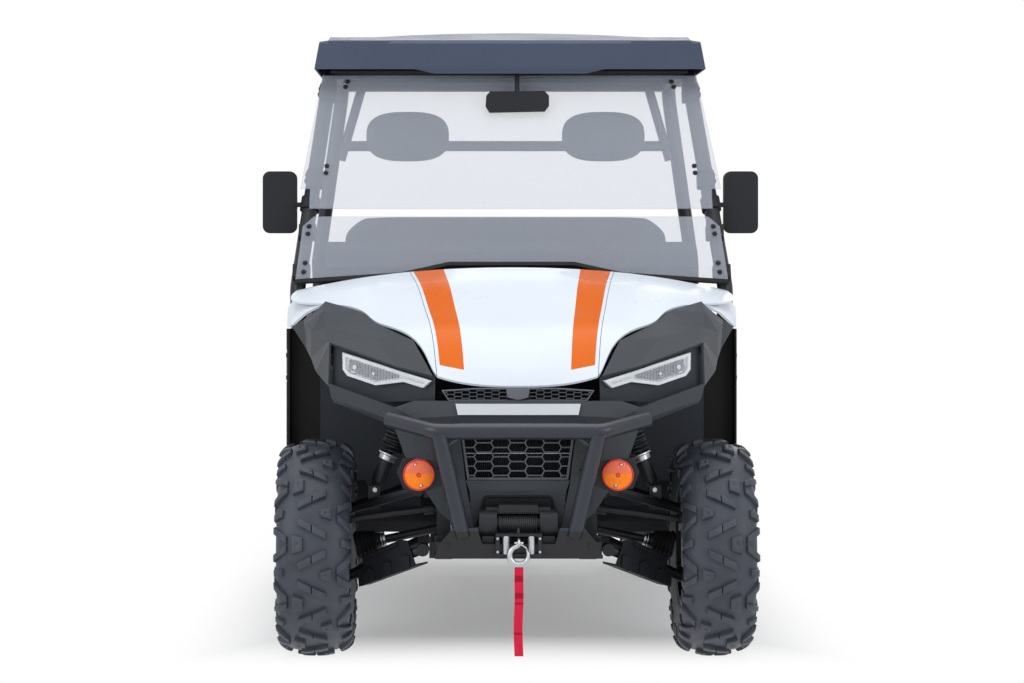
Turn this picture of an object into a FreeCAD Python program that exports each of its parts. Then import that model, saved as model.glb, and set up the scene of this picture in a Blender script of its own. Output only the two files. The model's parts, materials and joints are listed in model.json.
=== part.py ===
import FreeCAD, Part
import math
import os

V = FreeCAD.Vector

# Side by side utility vehicle.  Millimetres, +Z up, ground at z = 0, the vehicle faces -Y and its
# driver sits at +X.  The origin is on the ground under the middle of its length.

# Driving sizes
LENGTH = 3080.0
WHEELBASE = 2000.0
FRONT_OVERHANG = 560.0
TYRE_R = 330.0
LUG_H = 15.0
TYRE_SIDES = 22
HUB_R = 25.0
FRONT_TYRE_W = 232.0
REAR_TYRE_W = 270.0
FRONT_TRACK = 1204.0
REAR_TRACK = 1190.0
RIM_R = 178.0
KINGPIN_X = 525.0
STEER_ARM = 80.0
STEER_ARM_Z = 400.0
RACK_Z = 455.0
RAIL_X = 215.0
RAIL_Z = 338.0
KICK_Y = -1150.0
KICK_END_Y = -1400.0
KICK_UP = 50.0
RAIL = 50.0
OUTER_RAIL_X = 580.0
SHAFT_Z = 400.0
TUBE = 40.0
LOW_PIVOT_X = 278.0
LOW_PIVOT_Z = 338.0
LOW_BALL_Z = 240.0
TOP_BALL_Z = 444.0
REAR_LOW_Z = 252.0
REAR_TOP_Z = 430.0
LOW_EYE_R = 19.0
TOP_PIVOT_X = 292.0
TOP_PIVOT_Z = 516.0
TOP_EYE_R = 17.0
EYE_HALF = 18.0
SHOCK_BEAM_UP = 42.0
SHOCK_BEAM_H = 46.0
FRONT_SHOCK_TOP = V(338, 0, 728)
REAR_SHOCK_TOP = V(338, 0, 672)
FRONT_SHOCK_LOW = V(425, 0, 508)
REAR_SHOCK_LOW = V(404, 0, 492)
CAGE_D = 50.0
SKIN = 5.0
GAP = 6.0
FIT = 0.3

FRONT_Y = -LENGTH / 2 + FRONT_OVERHANG
REAR_Y = FRONT_Y + WHEELBASE
NOSE_Y = -LENGTH / 2
TAIL_Y = LENGTH / 2

# Cab
FLOOR_Z = RAIL_Z + RAIL / 2
FIREWALL_Y = -575.0
CAB_BACK_Y = 470.0
CAB_HALF = 620.0
SEAT_FRONT_Y = -60.0
DECK_Z = 700.0
DOOR_X = 690.0
DOOR_T = 40.0
DOOR_FRONT_Y = -500.0
DOOR_BACK_Y = 440.0
HINGE_X = 718.0
HINGE_Y = -500.0
HINGE_ZS = (540.0, 860.0)
RAIL_TOP_Z = 1836.0
POST_FOOT = V(668, -548, 414)
PILLAR_FOOT = V(690, -560, 1110)
PILLAR_TOP = V(602, -195, RAIL_TOP_Z)
ROOF_Z = RAIL_TOP_Z - 1
ROOF_PAD_Z = RAIL_TOP_Z + CAGE_D / 2 + 8
ROOF_EDGE = 92.0
ROOF_RISE = 147.0
ROOF_FRONT_Y = -340.0
ROOF_BACK_Y = 570.0
ROOF_HALF = 649.0

BEZEL_BACK = 18.0

# Windscreen plane: through SCREEN_FOOT, leaning back by SCREEN_LEAN from the vertical
SCREEN_FOOT = V(0, -600, 1150)
SCREEN_LEAN = 27.1
PANE_T = 5.0

# Cargo bed
BED_FRONT_Y = 530.0
BED_BACK_Y = 1488.0
BED_HALF = 640.0
BED_FLOOR_Z = 796.0
BED_WALL_H = 290.0
BED_WALL_T = 30.0
BED_PIVOT = V(0, 1400, 754)
BED_POST = 80.0
GATE_T = 34.0
GATE_LUG_XS = (-420.0, 0.0, 420.0)
GATE_PIVOT = V(0, BED_BACK_Y + GAP + GATE_T / 2, BED_FLOOR_Z - 24)

# Steering wheel
WHEEL_HUB = V(360, -190, 1130)
COLUMN_LEAN = 52.0
WHEEL_D = 340.0


def box(x0, x1, y0, y1, z0, z1):
    return Part.makeBox(x1 - x0, y1 - y0, z1 - z0, V(x0, y0, z0))


def rod(a, b, r, r2=None):
    """Round bar from point a to point b, tapering to r2 where that is given."""
    d = b - a
    if r2 is None:
        return Part.makeCylinder(r, d.Length, a, d)
    return Part.makeCone(r, r2, d.Length, a, d)


def bar(a, b, w, h):
    """Square bar from a to b, w across the level and h the other way."""
    d = (b - a).normalize()
    side = d.cross(V(0, 0, 1))
    if side.Length < 1e-6:
        side = V(1, 0, 0)
    side = side.normalize()
    up = side.cross(d).normalize()
    c = [a + side * sx * w / 2 + up * sz * h / 2 for sx, sz in ((-1, -1), (1, -1), (1, 1), (-1, 1))]
    return Part.Face(Part.makePolygon(c + [c[0]])).extrude(b - a)


def poly(points, depth):
    """Prism on a flat polygon."""
    return Part.Face(Part.makePolygon(points + [points[0]])).extrude(depth)


def side_prism(yz, x0, x1):
    return poly([V(x0, y, z) for y, z in yz], V(x1 - x0, 0, 0))


def front_prism(xz, y0, y1):
    return poly([V(x, y0, z) for x, z in xz], V(0, y1 - y0, 0))


def flip(shape):
    return shape.mirror(V(0, 0, 0), V(1, 0, 0))


def both(shape):
    return [shape, flip(shape)]


def fuse(shapes):
    out = shapes[0]
    if len(shapes) > 1:
        out = out.fuse(shapes[1:])
    return out.removeSplitter()


def tube(points, r, bend, wall=None):
    """Tube along straight runs joined by tangent arcs of radius bend."""
    edges = []
    start = points[0]
    for p, q, s in zip(points, points[1:], points[2:]):
        u = (p - q).normalize()
        w = (s - q).normalize()
        half = u.getAngle(w) / 2
        cut = bend / math.tan(half)
        a = q + u * cut
        b = q + w * cut
        mid_dir = (u + w).normalize()
        centre = q + mid_dir * (bend / math.sin(half))
        mid = centre - mid_dir * bend
        edges.append(Part.LineSegment(start, a).toShape())
        edges.append(Part.Arc(a, mid, b).toShape())
        start = b
    edges.append(Part.LineSegment(start, points[-1]).toShape())
    path = Part.Wire(edges)

    def along(radius):
        ring = Part.Wire(Part.makeCircle(radius, points[0], points[1] - points[0]))
        return path.makePipe(Part.Face(ring))

    body = along(r)
    if wall:
        body = body.cut(along(r - wall))
    return body


def slab(rows, push):
    """Panel of flat triangles over a grid of points, given its thickness by the vector push."""
    def tri(p, q, s):
        return Part.Face(Part.makePolygon([p, q, s, p]))

    def cell(a, b, c, d, back):
        if back:
            a, b, c, d = (p + push for p in (a, b, c, d))
        if (a - c).Length <= (b - d).Length:
            return [tri(a, b, c), tri(a, c, d)]
        return [tri(a, b, d), tri(b, c, d)]

    faces = []
    for r0, r1 in zip(rows, rows[1:]):
        for i in range(len(r0) - 1):
            quad = (r0[i], r0[i + 1], r1[i + 1], r1[i])
            faces += cell(*quad, False) + cell(*quad, True)
    rim = list(rows[0]) + [r[-1] for r in rows[1:]] + list(rows[-1])[-2::-1]
    rim += [r[0] for r in rows[-2:0:-1]]
    for p, q in zip(rim, rim[1:] + rim[:1]):
        faces += [Part.Face(Part.makePolygon([p, q, q + push, p + push, p]))]
    solid = Part.Solid(Part.Shell(faces))
    if solid.Volume < 0:
        solid.reverse()
    return solid


def grid(*rows):
    return [[V(*p) for p in row] for row in rows]


def mirrored_grid(rows):
    """The half grid from x = 0 outwards, completed on the other side."""
    return [[V(-p.x, p.y, p.z) for p in row[:0:-1]] + row for row in rows]


def smooth_panel(rows, push):
    """Smooth panel through a grid of points, given its thickness by the vector push."""
    sections = []
    for row in rows:
        curve = Part.BSplineCurve()
        curve.interpolate(row)
        sections.append(Part.Wire(curve.toShape()))
    return Part.makeLoft(sections, False, False).Faces[0].extrude(push)


def facet_ring(profile, sides, x0=0.0, turn=0.0):
    """Ring about the X axis with flat sides; profile is a closed list of (x, radius)."""
    step = 2 * math.pi / sides

    def at(k, x, r):
        a = (k + turn) * step
        return V(x0 + x, r * math.cos(a), r * math.sin(a))

    faces = []
    for (xa, ra), (xb, rb) in zip(profile, profile[1:] + profile[:1]):
        for k in range(sides):
            quad = [at(k, xa, ra), at(k + 1, xa, ra), at(k + 1, xb, rb), at(k, xb, rb)]
            faces.append(Part.Face(Part.makePolygon(quad + [quad[0]])))
    solid = Part.Solid(Part.Shell(faces))
    if solid.Volume < 0:
        solid.reverse()
    return solid


def largest(shape):
    return max(shape.Solids, key=lambda solid: solid.Volume)


def moved(shape, p):
    out = shape.copy()
    out.translate(p)
    return out


def turned(shape, centre, axis, degrees):
    out = shape.copy()
    out.rotate(centre, axis, degrees)
    return out


def at_screen(shape):
    """From a drawing plane (x, up the pane, out of the pane) to the windscreen's place."""
    out = shape.copy()
    out.rotate(V(0, 0, 0), V(1, 0, 0), 90 - SCREEN_LEAN)
    out.translate(SCREEN_FOOT)
    return out


def screen_s(z):
    return (z - SCREEN_FOOT.z) / math.cos(math.radians(SCREEN_LEAN))


# Wheels

def tyre(width):
    """Carcass bored for the rim, with a tilted bar on each flat of its crown and blocks on its shoulders."""
    w = width / 2
    bead = (RIM_R + FIT) / math.cos(math.pi / TYRE_SIDES)
    crown = TYRE_R - LUG_H
    side = [(w - 22, bead), (w - 4, bead + 34), (w, bead + 72), (w - 12, crown - 22), (w - 42, crown)]
    profile = side + [(-x, r) for x, r in reversed(side)]
    carcass = facet_ring(profile, TYRE_SIDES, 0, 180 / TYRE_SIDES)
    tip = math.sqrt(TYRE_R ** 2 - 28 ** 2)
    bar_lug = box(-38, 38, -13, 13, crown - 12, tip)
    block = front_prism([(w - 78, crown - 14), (w - 78, tip), (w - 44, tip), (w - 8, crown - 26), (w - 12, crown - 40)],
                         -20, 20)
    lugs = []
    for k in range(TYRE_SIDES):
        sign = 1 if k % 2 else -1
        lug = turned(bar_lug, V(0, 0, 0), V(0, 0, 1), 25 * sign)
        shoulder = block if sign > 0 else flip(block)
        lugs += [turned(x, V(0, 0, 0), V(1, 0, 0), 360 / TYRE_SIDES * k) for x in (lug, shoulder)]
    return fuse([carcass] + lugs)


def rim(width):
    """Drop-centre barrel with a dished face of six spokes and a hub; outer side at +x."""
    w = width / 2
    lip = w - 22
    outer = [(-lip, RIM_R), (-lip + 26, RIM_R), (-lip + 40, RIM_R - 14), (lip - 40, RIM_R - 14),
             (lip - 26, RIM_R), (lip, RIM_R)]
    inner = [(lip, RIM_R - 8), (lip - 30, RIM_R - 10), (lip - 44, RIM_R - 24), (-lip + 40, RIM_R - 24),
             (-lip + 26, RIM_R - 8), (-lip, RIM_R - 8)]
    barrel = facet_ring(outer + inner, 32)
    face_x = lip - 56
    bore = (HUB_R + 0.8) / math.cos(math.pi / 32)
    disc = facet_ring([(face_x, bore), (face_x + 12, bore), (face_x + 12, 70), (face_x + 34, RIM_R - 9),
                       (face_x + 22, RIM_R - 9), (face_x, 70)], 32)
    window = poly([V(0, -17, 82), V(0, 17, 82), V(0, 40, 138), V(0, -40, 138)], V(120, 0, 0))
    window.translate(V(face_x - 30, 0, 0))
    disc = disc.cut([turned(window, V(0, 0, 0), V(1, 0, 0), 60 * k) for k in range(6)])
    cap = facet_ring([(face_x - 40, bore), (face_x + 22, bore), (face_x + 22, 42), (face_x - 40, 42)], 32)
    return fuse([barrel, disc, cap])


def place_wheel(shape, side, track, y):
    if side < 0:
        shape = flip(shape)
    return moved(shape, V(side * track / 2, y, TYRE_R))


# Chassis

def kick(y):
    """How far the rails have risen at y."""
    return max(0, KICK_UP * (KICK_Y - y) / (KICK_Y - KICK_END_Y))


def chassis_frame():
    """Ladder of box tube: long rails, cross members butted between them, outriggers and arm lugs."""
    inner = RAIL_X - RAIL / 2 - FIT
    outer = RAIL_X + RAIL / 2 + FIT
    side = OUTER_RAIL_X - TUBE / 2 - FIT
    floor_ys = (-470, -20, 440)
    axle_ys = (FRONT_Y - 130, FRONT_Y + 130, REAR_Y - 130, REAR_Y + 130)
    bars = [bar(V(-inner, y, RAIL_Z), V(inner, y, RAIL_Z), TUBE, TUBE)
            for y in floor_ys + axle_ys + (-700, 600, 1380)]
    z = RAIL_Z + kick(-1376)
    bars.append(bar(V(-inner, -1376, z), V(inner, -1376, z), TUBE, TUBE))
    half = []
    for y in floor_ys:
        half.append(bar(V(outer, y, RAIL_Z), V(side, y, RAIL_Z), TUBE, TUBE))
    for y in axle_ys:
        half.append(box(outer, LOW_PIVOT_X - LOW_EYE_R - FIT, y - 16, y + 16, RAIL_Z - RAIL / 2, RAIL_Z + RAIL / 2))
    low, high = RAIL_Z - RAIL / 2, RAIL_Z + RAIL / 2
    half.append(side_prism([(KICK_Y, low), (1450, low), (1450, high), (KICK_Y, high), (KICK_END_Y, high + KICK_UP),
                            (KICK_END_Y, low + KICK_UP)], RAIL_X - RAIL / 2, RAIL_X + RAIL / 2))
    half.append(bar(V(OUTER_RAIL_X, -490, RAIL_Z), V(OUTER_RAIL_X, 520, RAIL_Z), TUBE, TUBE))
    half.append(bar(V(OUTER_RAIL_X + TUBE / 2 + FIT, 500, RAIL_Z), V(685, 500, RAIL_Z), TUBE, TUBE))
    for shape in half:
        bars += both(shape)
    return bars


def pivot_posts(axle_y):
    """Posts on the rails with the lugs of the upper arms."""
    posts = []
    for y in (axle_y - 130, axle_y + 130):
        post = bar(V(RAIL_X, y, RAIL_Z + RAIL / 2 + FIT), V(RAIL_X, y, 560), 30, 30)
        lug = box(RAIL_X, TOP_PIVOT_X - TOP_EYE_R - FIT, y - 16, y + 16, TOP_PIVOT_Z - 21, TOP_PIVOT_Z + 21)
        posts += both(fuse([post, lug]))
    return posts


def shock_mount(axle_y, eye):
    """Cross member over the rails' upper tubes with the ears of the two shock absorbers."""
    y = axle_y - 20
    z = eye.z + SHOCK_BEAM_UP
    parts = [bar(V(-372, y, z), V(372, y, z), 60, SHOCK_BEAM_H)]
    for s in (-1, 1):
        for e in (-1, 1):
            y0, y1 = sorted((y + e * (EYE_HALF + FIT), y + e * (EYE_HALF + 6)))
            parts.append(box(s * eye.x - 18, s * eye.x + 18, y0, y1, eye.z - 14, eye.z + 40))
    return parts


def front_frame():
    """Upper frame over the front axle and the pivot posts."""
    parts = shock_mount(FRONT_Y, FRONT_SHOCK_TOP)
    foot = RAIL_Z + RAIL / 2 + FIT
    for s in (-1, 1):
        x = s * RAIL_X
        for y, top in ((-1264, 690), (-700, 760)):
            parts.append(bar(V(x, y, foot + kick(y - TUBE / 2)), V(x, y, top), TUBE, TUBE))
        parts.append(bar(V(x, -1284, 690), V(x, -680, 770), TUBE, TUBE))
    parts.append(bar(V(-RAIL_X, -700, 770), V(RAIL_X, -700, 770), 36, 36))
    parts.append(bar(V(-RAIL_X, -1264, 560), V(RAIL_X, -1264, 560), 36, 36))
    return [fuse(parts)] + pivot_posts(FRONT_Y)


def rear_frame():
    """Upper frame under the cargo bed, with the ears and pins of the bed, and the pivot posts."""
    parts = shock_mount(REAR_Y, REAR_SHOCK_TOP)
    foot = RAIL_Z + RAIL / 2 + FIT
    for s in (-1, 1):
        x = s * RAIL_X
        for y in (600, 1380):
            parts.append(bar(V(x, y, foot), V(x, y, 716), TUBE, TUBE))
        parts.append(bar(V(x, 580, 716), V(x, 1424, 716), TUBE, TUBE))
    parts.append(bar(V(-RAIL_X, 1400, 716), V(RAIL_X, 1400, 716), 36, 36))
    return [fuse(parts + bed_hinge())] + pivot_posts(REAR_Y)


def bed_hinge():
    """Two ears with the pin of the bed."""
    parts = []
    for s in (-1, 1):
        x = s * RAIL_X
        for e in (-24, 24):
            parts.append(side_prism([(BED_PIVOT.y - 22, 730), (BED_PIVOT.y + 22, 730),
                                     (BED_PIVOT.y + 22, BED_PIVOT.z), (BED_PIVOT.y + 8, BED_PIVOT.z + 14),
                                     (BED_PIVOT.y - 8, BED_PIVOT.z + 14), (BED_PIVOT.y - 22, BED_PIVOT.z)],
                                    x + e - 5, x + e + 5))
        parts.append(box(x - 29, x + 29, BED_PIVOT.y - 22, BED_PIVOT.y + 22, 724, 734))
        parts.append(rod(V(x - 32, BED_PIVOT.y, BED_PIVOT.z), V(x + 32, BED_PIVOT.y, BED_PIVOT.z), 7))
    return parts


def lower_leg(axle_y, f, tip, ball_z):
    """Ends of one leg of a lower arm: just outside its pivot, and at the wheel."""
    return (V(LOW_PIVOT_X + 22, axle_y + f * 130, LOW_PIVOT_Z - 8), V(tip, axle_y + f * 12, ball_z))


def lower_tie(axle_y, tip, ball_z):
    """Ends of the cross tube between the legs of a lower arm."""
    t = 0.28
    ends = []
    for f in (-1, 1):
        a, b = lower_leg(axle_y, f, tip, ball_z)
        ends.append(a + (b - a) * t)
    return ends


def suspension_arms():
    """Four lower and four upper arms of tube with their eyes, and the rear hub carriers."""
    shapes = []
    for front in (True, False):
        y = FRONT_Y if front else REAR_Y
        low_z = LOW_BALL_Z if front else REAR_LOW_Z
        top_z = TOP_BALL_Z if front else REAR_TOP_Z
        eye = FRONT_SHOCK_LOW if front else REAR_SHOCK_LOW
        tip = KINGPIN_X - 20 if front else 508
        b = V(TOP_PIVOT_X, 0, TOP_PIVOT_Z)
        lower = []
        upper = []
        for f in (-1, 1):
            q = y + f * 130
            start, end = lower_leg(y, f, tip, low_z)
            lower.append(tube([V(LOW_PIVOT_X, q, LOW_PIVOT_Z), start, end], 15, 30))
            lower.append(rod(V(LOW_PIVOT_X, q - 24, LOW_PIVOT_Z), V(LOW_PIVOT_X, q + 24, LOW_PIVOT_Z), LOW_EYE_R))
            upper.append(rod(V(b.x, q, b.z), V(tip + 4, y + f * 10, top_z), 14))
            upper.append(rod(V(b.x, q - 22, b.z), V(b.x, q + 22, b.z), TOP_EYE_R))
            y0, y1 = sorted((y - 20 + f * (EYE_HALF + FIT), y - 20 + f * (EYE_HALF + 6)))
            upper.append(box(eye.x - 16, eye.x + 20, y0, y1, 448, eye.z + 12))
        lower.append(rod(*lower_tie(y, tip, low_z), 11))
        upper.append(rod(V(430, y - 52, 462), V(430, y + 44, 462), 11))
        if front:
            low_eye = rod(V(KINGPIN_X, y, low_z - 16), V(KINGPIN_X, y, low_z + 12), 24)
            top_eye = rod(V(KINGPIN_X, y, top_z - 12), V(KINGPIN_X, y, top_z + 12), 22)
            bore = rod(V(KINGPIN_X, y, low_z - 10), V(KINGPIN_X, y, top_z + 26), 9)
            arms = [fuse(lower + [low_eye]).cut(bore), fuse(upper + [top_eye]).cut(bore)]
        else:
            carrier = [side_prism([(y - 34, 230), (y + 34, 230), (y + 40, 300), (y + 40, 380), (y + 26, 452),
                                   (y - 26, 452), (y - 40, 380), (y - 40, 300)], 500, 530),
                       rod(V(530, y, TYRE_R), V(REAR_TRACK / 2 + 68, y, TYRE_R), HUB_R)]
            arms = [fuse(lower + upper + carrier)]
        for a in arms:
            shapes += both(a)
    return shapes


def arm_guards():
    """Ribbed shells before the front legs of the front lower arms, turned with them in plan."""
    a, b = lower_leg(FRONT_Y, -1, KINGPIN_X - 20, LOW_BALL_Z)
    run = V(b.x - a.x, b.y - a.y, 0).Length
    lean = math.degrees(math.atan2(b.y - a.y, b.x - a.x))
    fall = (b.z - a.z) / run
    x, y = a.x, a.y - 18

    def along(points):
        return [(x + u, a.z + fall * u + v) for u, v in points]

    plate = front_prism(along([(-14, -44), (186, -44), (190, 4), (170, 12), (176, 46), (40, 52), (14, 40), (4, 6)]),
                        y - 6, y)
    pads = [front_prism(along([(u - 17, -40), (u + 17, -40), (u + 15, -8), (u, 2), (u - 15, -8)]), y - 14, y - 2)
            for u in (20, 84, 148)]
    web = front_prism(along([(-14, -44), (186, -44), (186, -38), (-14, -38)]), y - 6, y + 66)
    brow = front_prism(along([(46, 38), (168, 33), (168, 40), (46, 45)]), y - 16, y - 3)
    straps = [box(x + u - 9, x + u + 9, y - 3, y + 36, a.z + fall * u - 42, a.z + fall * u) for u in (40, 124)]
    guard = turned(fuse([plate, web, brow] + pads + straps), a, V(0, 0, 1), lean)
    r = LOW_EYE_R + 1
    ring = box(LOW_PIVOT_X - r, LOW_PIVOT_X + r, a.y - 28, a.y + 26, LOW_PIVOT_Z - r, LOW_PIVOT_Z + r)
    tie = bar(*lower_tie(FRONT_Y, KINGPIN_X - 20, LOW_BALL_Z), 25, 25)
    return both(largest(guard.cut([bar(a, a + (b - a) * 0.97, 33, 33), ring, tie])))


def shock_absorbers():
    """Damper, spring envelope and eyes at each corner."""
    shapes = []
    for y, low, top in ((FRONT_Y - 20, FRONT_SHOCK_LOW, FRONT_SHOCK_TOP), (REAR_Y - 20, REAR_SHOCK_LOW, REAR_SHOCK_TOP)):
        a = V(low.x, y, low.z)
        b = V(top.x, y, top.z)
        d = (b - a).normalize()
        n = (b - a).Length
        body = [rod(a, b, 15), rod(a + d * 22, a + d * 60, 26), rod(a + d * 50, a + d * (n - 34), 36),
                rod(a + d * (n - 40), a + d * (n - 22), 26)]
        body += [rod(p - V(0, EYE_HALF, 0), p + V(0, EYE_HALF, 0), 16) for p in (a, b)]
        shapes += both(fuse(body))
    return shapes


def spun(a, b, profile):
    """Turned solid about the line from a to b on a profile of distances from a and radii."""
    d = (b - a).normalize()
    w = d.cross(V(0, 1, 0)).normalize()
    points = [a + d * profile[0][0]] + [a + d * t + w * r for t, r in profile] + [a + d * profile[-1][0]]
    return Part.Face(Part.makePolygon(points + [points[0]])).revolve(a, d, 360)


def drive_axles():
    """Front and rear gear cases tied by the long shaft, and half shafts with their boots and clamps."""
    cases = []
    shafts = []
    foot = RAIL_Z + TUBE / 2 + FIT
    end = 118
    for y, out_x in ((FRONT_Y, 486), (REAR_Y, 490)):
        cases += [box(-96, 96, y - 44, y + 84, 352, 458), rod(V(-end, y, 410), V(end, y, 410), 42),
                  box(-60, 60, y - 126, y + 126, foot, foot + 10)]
        a = V(end, y, 410)
        b = V(out_x, y, TYRE_R + 4)
        n = (b - a).Length
        shaft = spun(a, b, [(-28, 39), (2, 39), (70, 27), (96, 19), (96, 13), (n - 90, 13), (n - 90, 19),
                            (n - 62, 27), (n, 38)])
        shafts += both(largest(shaft.cut(box(0, end + FIT, y - 60, y + 60, 340, 480))))
    cases.append(rod(V(0, FRONT_Y + 80, SHAFT_Z), V(0, REAR_Y - 40, SHAFT_Z), 16))
    return [fuse(cases)] + shafts


def engine_block():
    """Plain block with its gear case, on four feet over the rails."""
    feet = [box(s * RAIL_X - 25, s * RAIL_X + 25, y, y + 40, RAIL_Z + RAIL / 2 + FIT, 450)
            for s in (-1, 1) for y in (90, 400)]
    return fuse([box(-220, 220, 70, 455, 440, 664), box(-150, 170, 450, 700, 430, 620)] + feet)


def muffler():
    can = rod(V(-170, 1270, 560), V(170, 1270, 560), 78)
    pipe = tube([V(120, 1270, 600), V(120, 1360, 600), V(120, 1470, 570)], 21, 60)
    feed = rod(V(-100, 700 + FIT, 540), V(-100, 1270, 540), 21)
    return fuse([can, pipe, feed])


def hitch():
    """Square receiver with its pin bore, on a drop bracket."""
    y0 = 1400 + FIT
    half = RAIL_X - RAIL / 2 - FIT
    body = [box(-32, 32, y0, TAIL_Y, 328, 392), box(-38, 38, TAIL_Y - 22, TAIL_Y, 322, 398),
            box(-half, half, y0, y0 + 12, 300, 400)]
    body = fuse(body).cut(box(-25.5, 25.5, y0 + 14, TAIL_Y + 5, 334.5, 385.5))
    return body.cut(rod(V(-60, TAIL_Y - 60, 360), V(60, TAIL_Y - 60, 360), 8))


# Front of the body

HOOD_ROWS = grid(
    [(0, -1400, 845), (120, -1396, 850), (232, -1368, 872)],
    [(0, -1330, 936), (130, -1328, 936), (264, -1312, 926)],
    [(0, -1250, 990), (150, -1252, 992), (300, -1250, 974)],
    [(0, -1080, 1052), (190, -1080, 1056), (418, -1080, 1020)],
    [(0, -960, 1094), (215, -960, 1097), (466, -960, 1050)],
    [(0, -820, 1138), (245, -820, 1136), (586, -820, 1068)],
    [(0, -650, 1180), (300, -632, 1168), (690, -606, 1106)],
)

FENDER_ROWS = grid(
    [(246, -1366, 872), (352, -1332, 898), (552, -1234, 964), (556, -1236, 838)],
    [(304, -1252, 970), (420, -1210, 976), (568, -1120, 960), (600, -1112, 874)],
    [(424, -1080, 1018), (572, -1010, 1002), (622, -980, 986), (622, -975, 905)],
    [(472, -960, 1048), (590, -920, 1046), (644, -890, 1006), (642, -880, 930)],
    [(586, -826, 1076), (612, -815, 1050), (656, -800, 1018), (694, -768, 996)],
)


def hood():
    """Bonnet skin with the cowl panels that run down outside the dark covers."""
    top = smooth_panel(mirrored_grid(HOOD_ROWS), V(0, 4, -6))
    return fuse([top] + both(cowl_panel(V(-6, 0, -4))))


def cowl_panel(push):
    return slab(grid([(584, -808, 1072), (650, -786, 1040), (696, -752, 1000)],
                     [(640, -690, 1088), (694, -676, 1040), (708, -640, 992)],
                     [(682, -612, 1100), (718, -604, 1050), (722, -590, 990)]), push)


def front_fenders():
    """Dark angular covers, trimmed back from the bonnet that they lie under."""
    cover = slab(FENDER_ROWS, V(-5, 3, -8))
    wider = [[V(p.x * 1.003, p.y, p.z) for p in row] for row in HOOD_ROWS]
    swollen = moved(smooth_panel(mirrored_grid(wider), V(0, 12, -14)), V(0, -1.2, 1.4))
    cowl = moved(cowl_panel(V(-9, 0, -6)), V(0.9, 0, 0.6))
    return both(largest(largest(cover.cut(swollen)).cut(cowl)))


def front_fascia():
    """Mask below the bonnet, round the lamps and the two grilles, with the chin."""
    push = V(0, 22, 0)
    brow = slab(mirrored_grid(grid(
        [(0, -1422, 802), (205, -1418, 802), (300, -1386, 800), (356, -1362, 780), (556, -1244, 844)],
        [(0, -1436, 760), (190, -1434, 760), (300, -1396, 752), (372, -1340, 744), (546, -1234, 800)],
        [(0, -1424, 726), (196, -1424, 726), (262, -1396, 722), (361, -1302, 722), (540, -1222, 786)])), push)
    cheek = slab(grid([(172, -1420, 730), (262, -1394, 726), (361, -1300, 726)],
                      [(160, -1404, 650), (246, -1380, 640), (330, -1308, 640)],
                      [(150, -1402, 562), (214, -1380, 556), (286, -1310, 560)],
                      [(126, -1386, 436), (176, -1372, 436), (226, -1312, 470)]), push)
    chin = slab(mirrored_grid(grid([(0, -1402, 572), (150, -1402, 572)],
                                   [(0, -1402, 544), (140, -1402, 544)],
                                   [(0, -1384, 436), (128, -1384, 436)])), push)
    stays = both(box(205, 225, -1376, -1284 - FIT, 640, 668))
    return fuse([brow, chin] + both(cheek) + stays)


def hexagon(x, z, a, b):
    """Corners of a hexagon stretched along x, 2a long and 2b high."""
    return [(x - a, z), (x - a + b * 0.6, z - b), (x + a - b * 0.6, z - b), (x + a, z), (x + a - b * 0.6, z + b),
            (x - a + b * 0.6, z + b)]


def comb(rows, pitch, a, b, half, y0, y1):
    """Cutters for staggered rows of hexagons inside half the width of a grille."""
    cells = []
    for k, z in enumerate(rows):
        shift = pitch / 2 if k % 2 else 0
        n = int((half - a - shift) // pitch)
        xs = sorted({s * (shift + pitch * i) for i in range(n + 1) for s in (-1, 1)})
        cells += [front_prism(hexagon(x, z, a, b), y0, y1) for x in xs]
    return cells


def grille():
    """Lower honeycomb in its frame, and the strip of two rows under the bonnet's lip with a bare shield."""
    frame = front_prism([(-146, 572 + FIT), (146, 572 + FIT), (164, 706), (-164, 706)], -1388, -1376)
    frame = frame.cut(comb((603, 640, 677), 61, 27, 15.5, 150, -1392, -1370))
    strip = front_prism([(-200, 802 + FIT), (200, 802 + FIT), (220, 832), (120, 838.6), (-120, 838.6), (-220, 832)],
                        -1408, -1386)
    cells = [c for c in comb((811.5, 827.5), 30, 13.5, 6.6, 205, -1412, -1380)
             if abs(c.BoundBox.Center.x) > 44]
    shield = front_prism([(-34, 836), (-30, 812), (0, 804), (30, 812), (34, 836)], -1412, -1400)
    return [frame, fuse([strip.cut(cells), shield])]


def nose_plate():
    """Bare trapezoid plate on the mask."""
    return slab(mirrored_grid(grid([(0, -1431, 795), (180, -1429, 795)], [(0, -1443, 764), (173, -1441, 764)])),
                V(0, 14, 0))


def lamp_row(points, back=0):
    """Points of a row across the lamp's raked front, from x and z."""
    return [(x, -1232 - (540 - x) * 0.464 + back, z) for x, z in points]


def headlamps():
    """Wedge lenses before the dark bezels."""
    lens = slab(grid(lamp_row([(514, 935), (416, 906), (333, 881), (252, 857)], -3),
                     lamp_row([(512, 872), (416, 840), (333, 852), (276, 836)], -3)), V(0, BEZEL_BACK + 3 - FIT, 0))
    return both(lens)


def lamp_bezels():
    """Sunken plates behind the lenses, between cover and mask."""
    plate = slab(grid(lamp_row([(540, 960), (430, 924), (345, 902), (238, 872)]),
                      lamp_row([(545, 834), (405, 790), (318, 796), (240, 798)])), V(0, 10, 0))
    return both(moved(plate, V(0, BEZEL_BACK, 0)))


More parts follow.
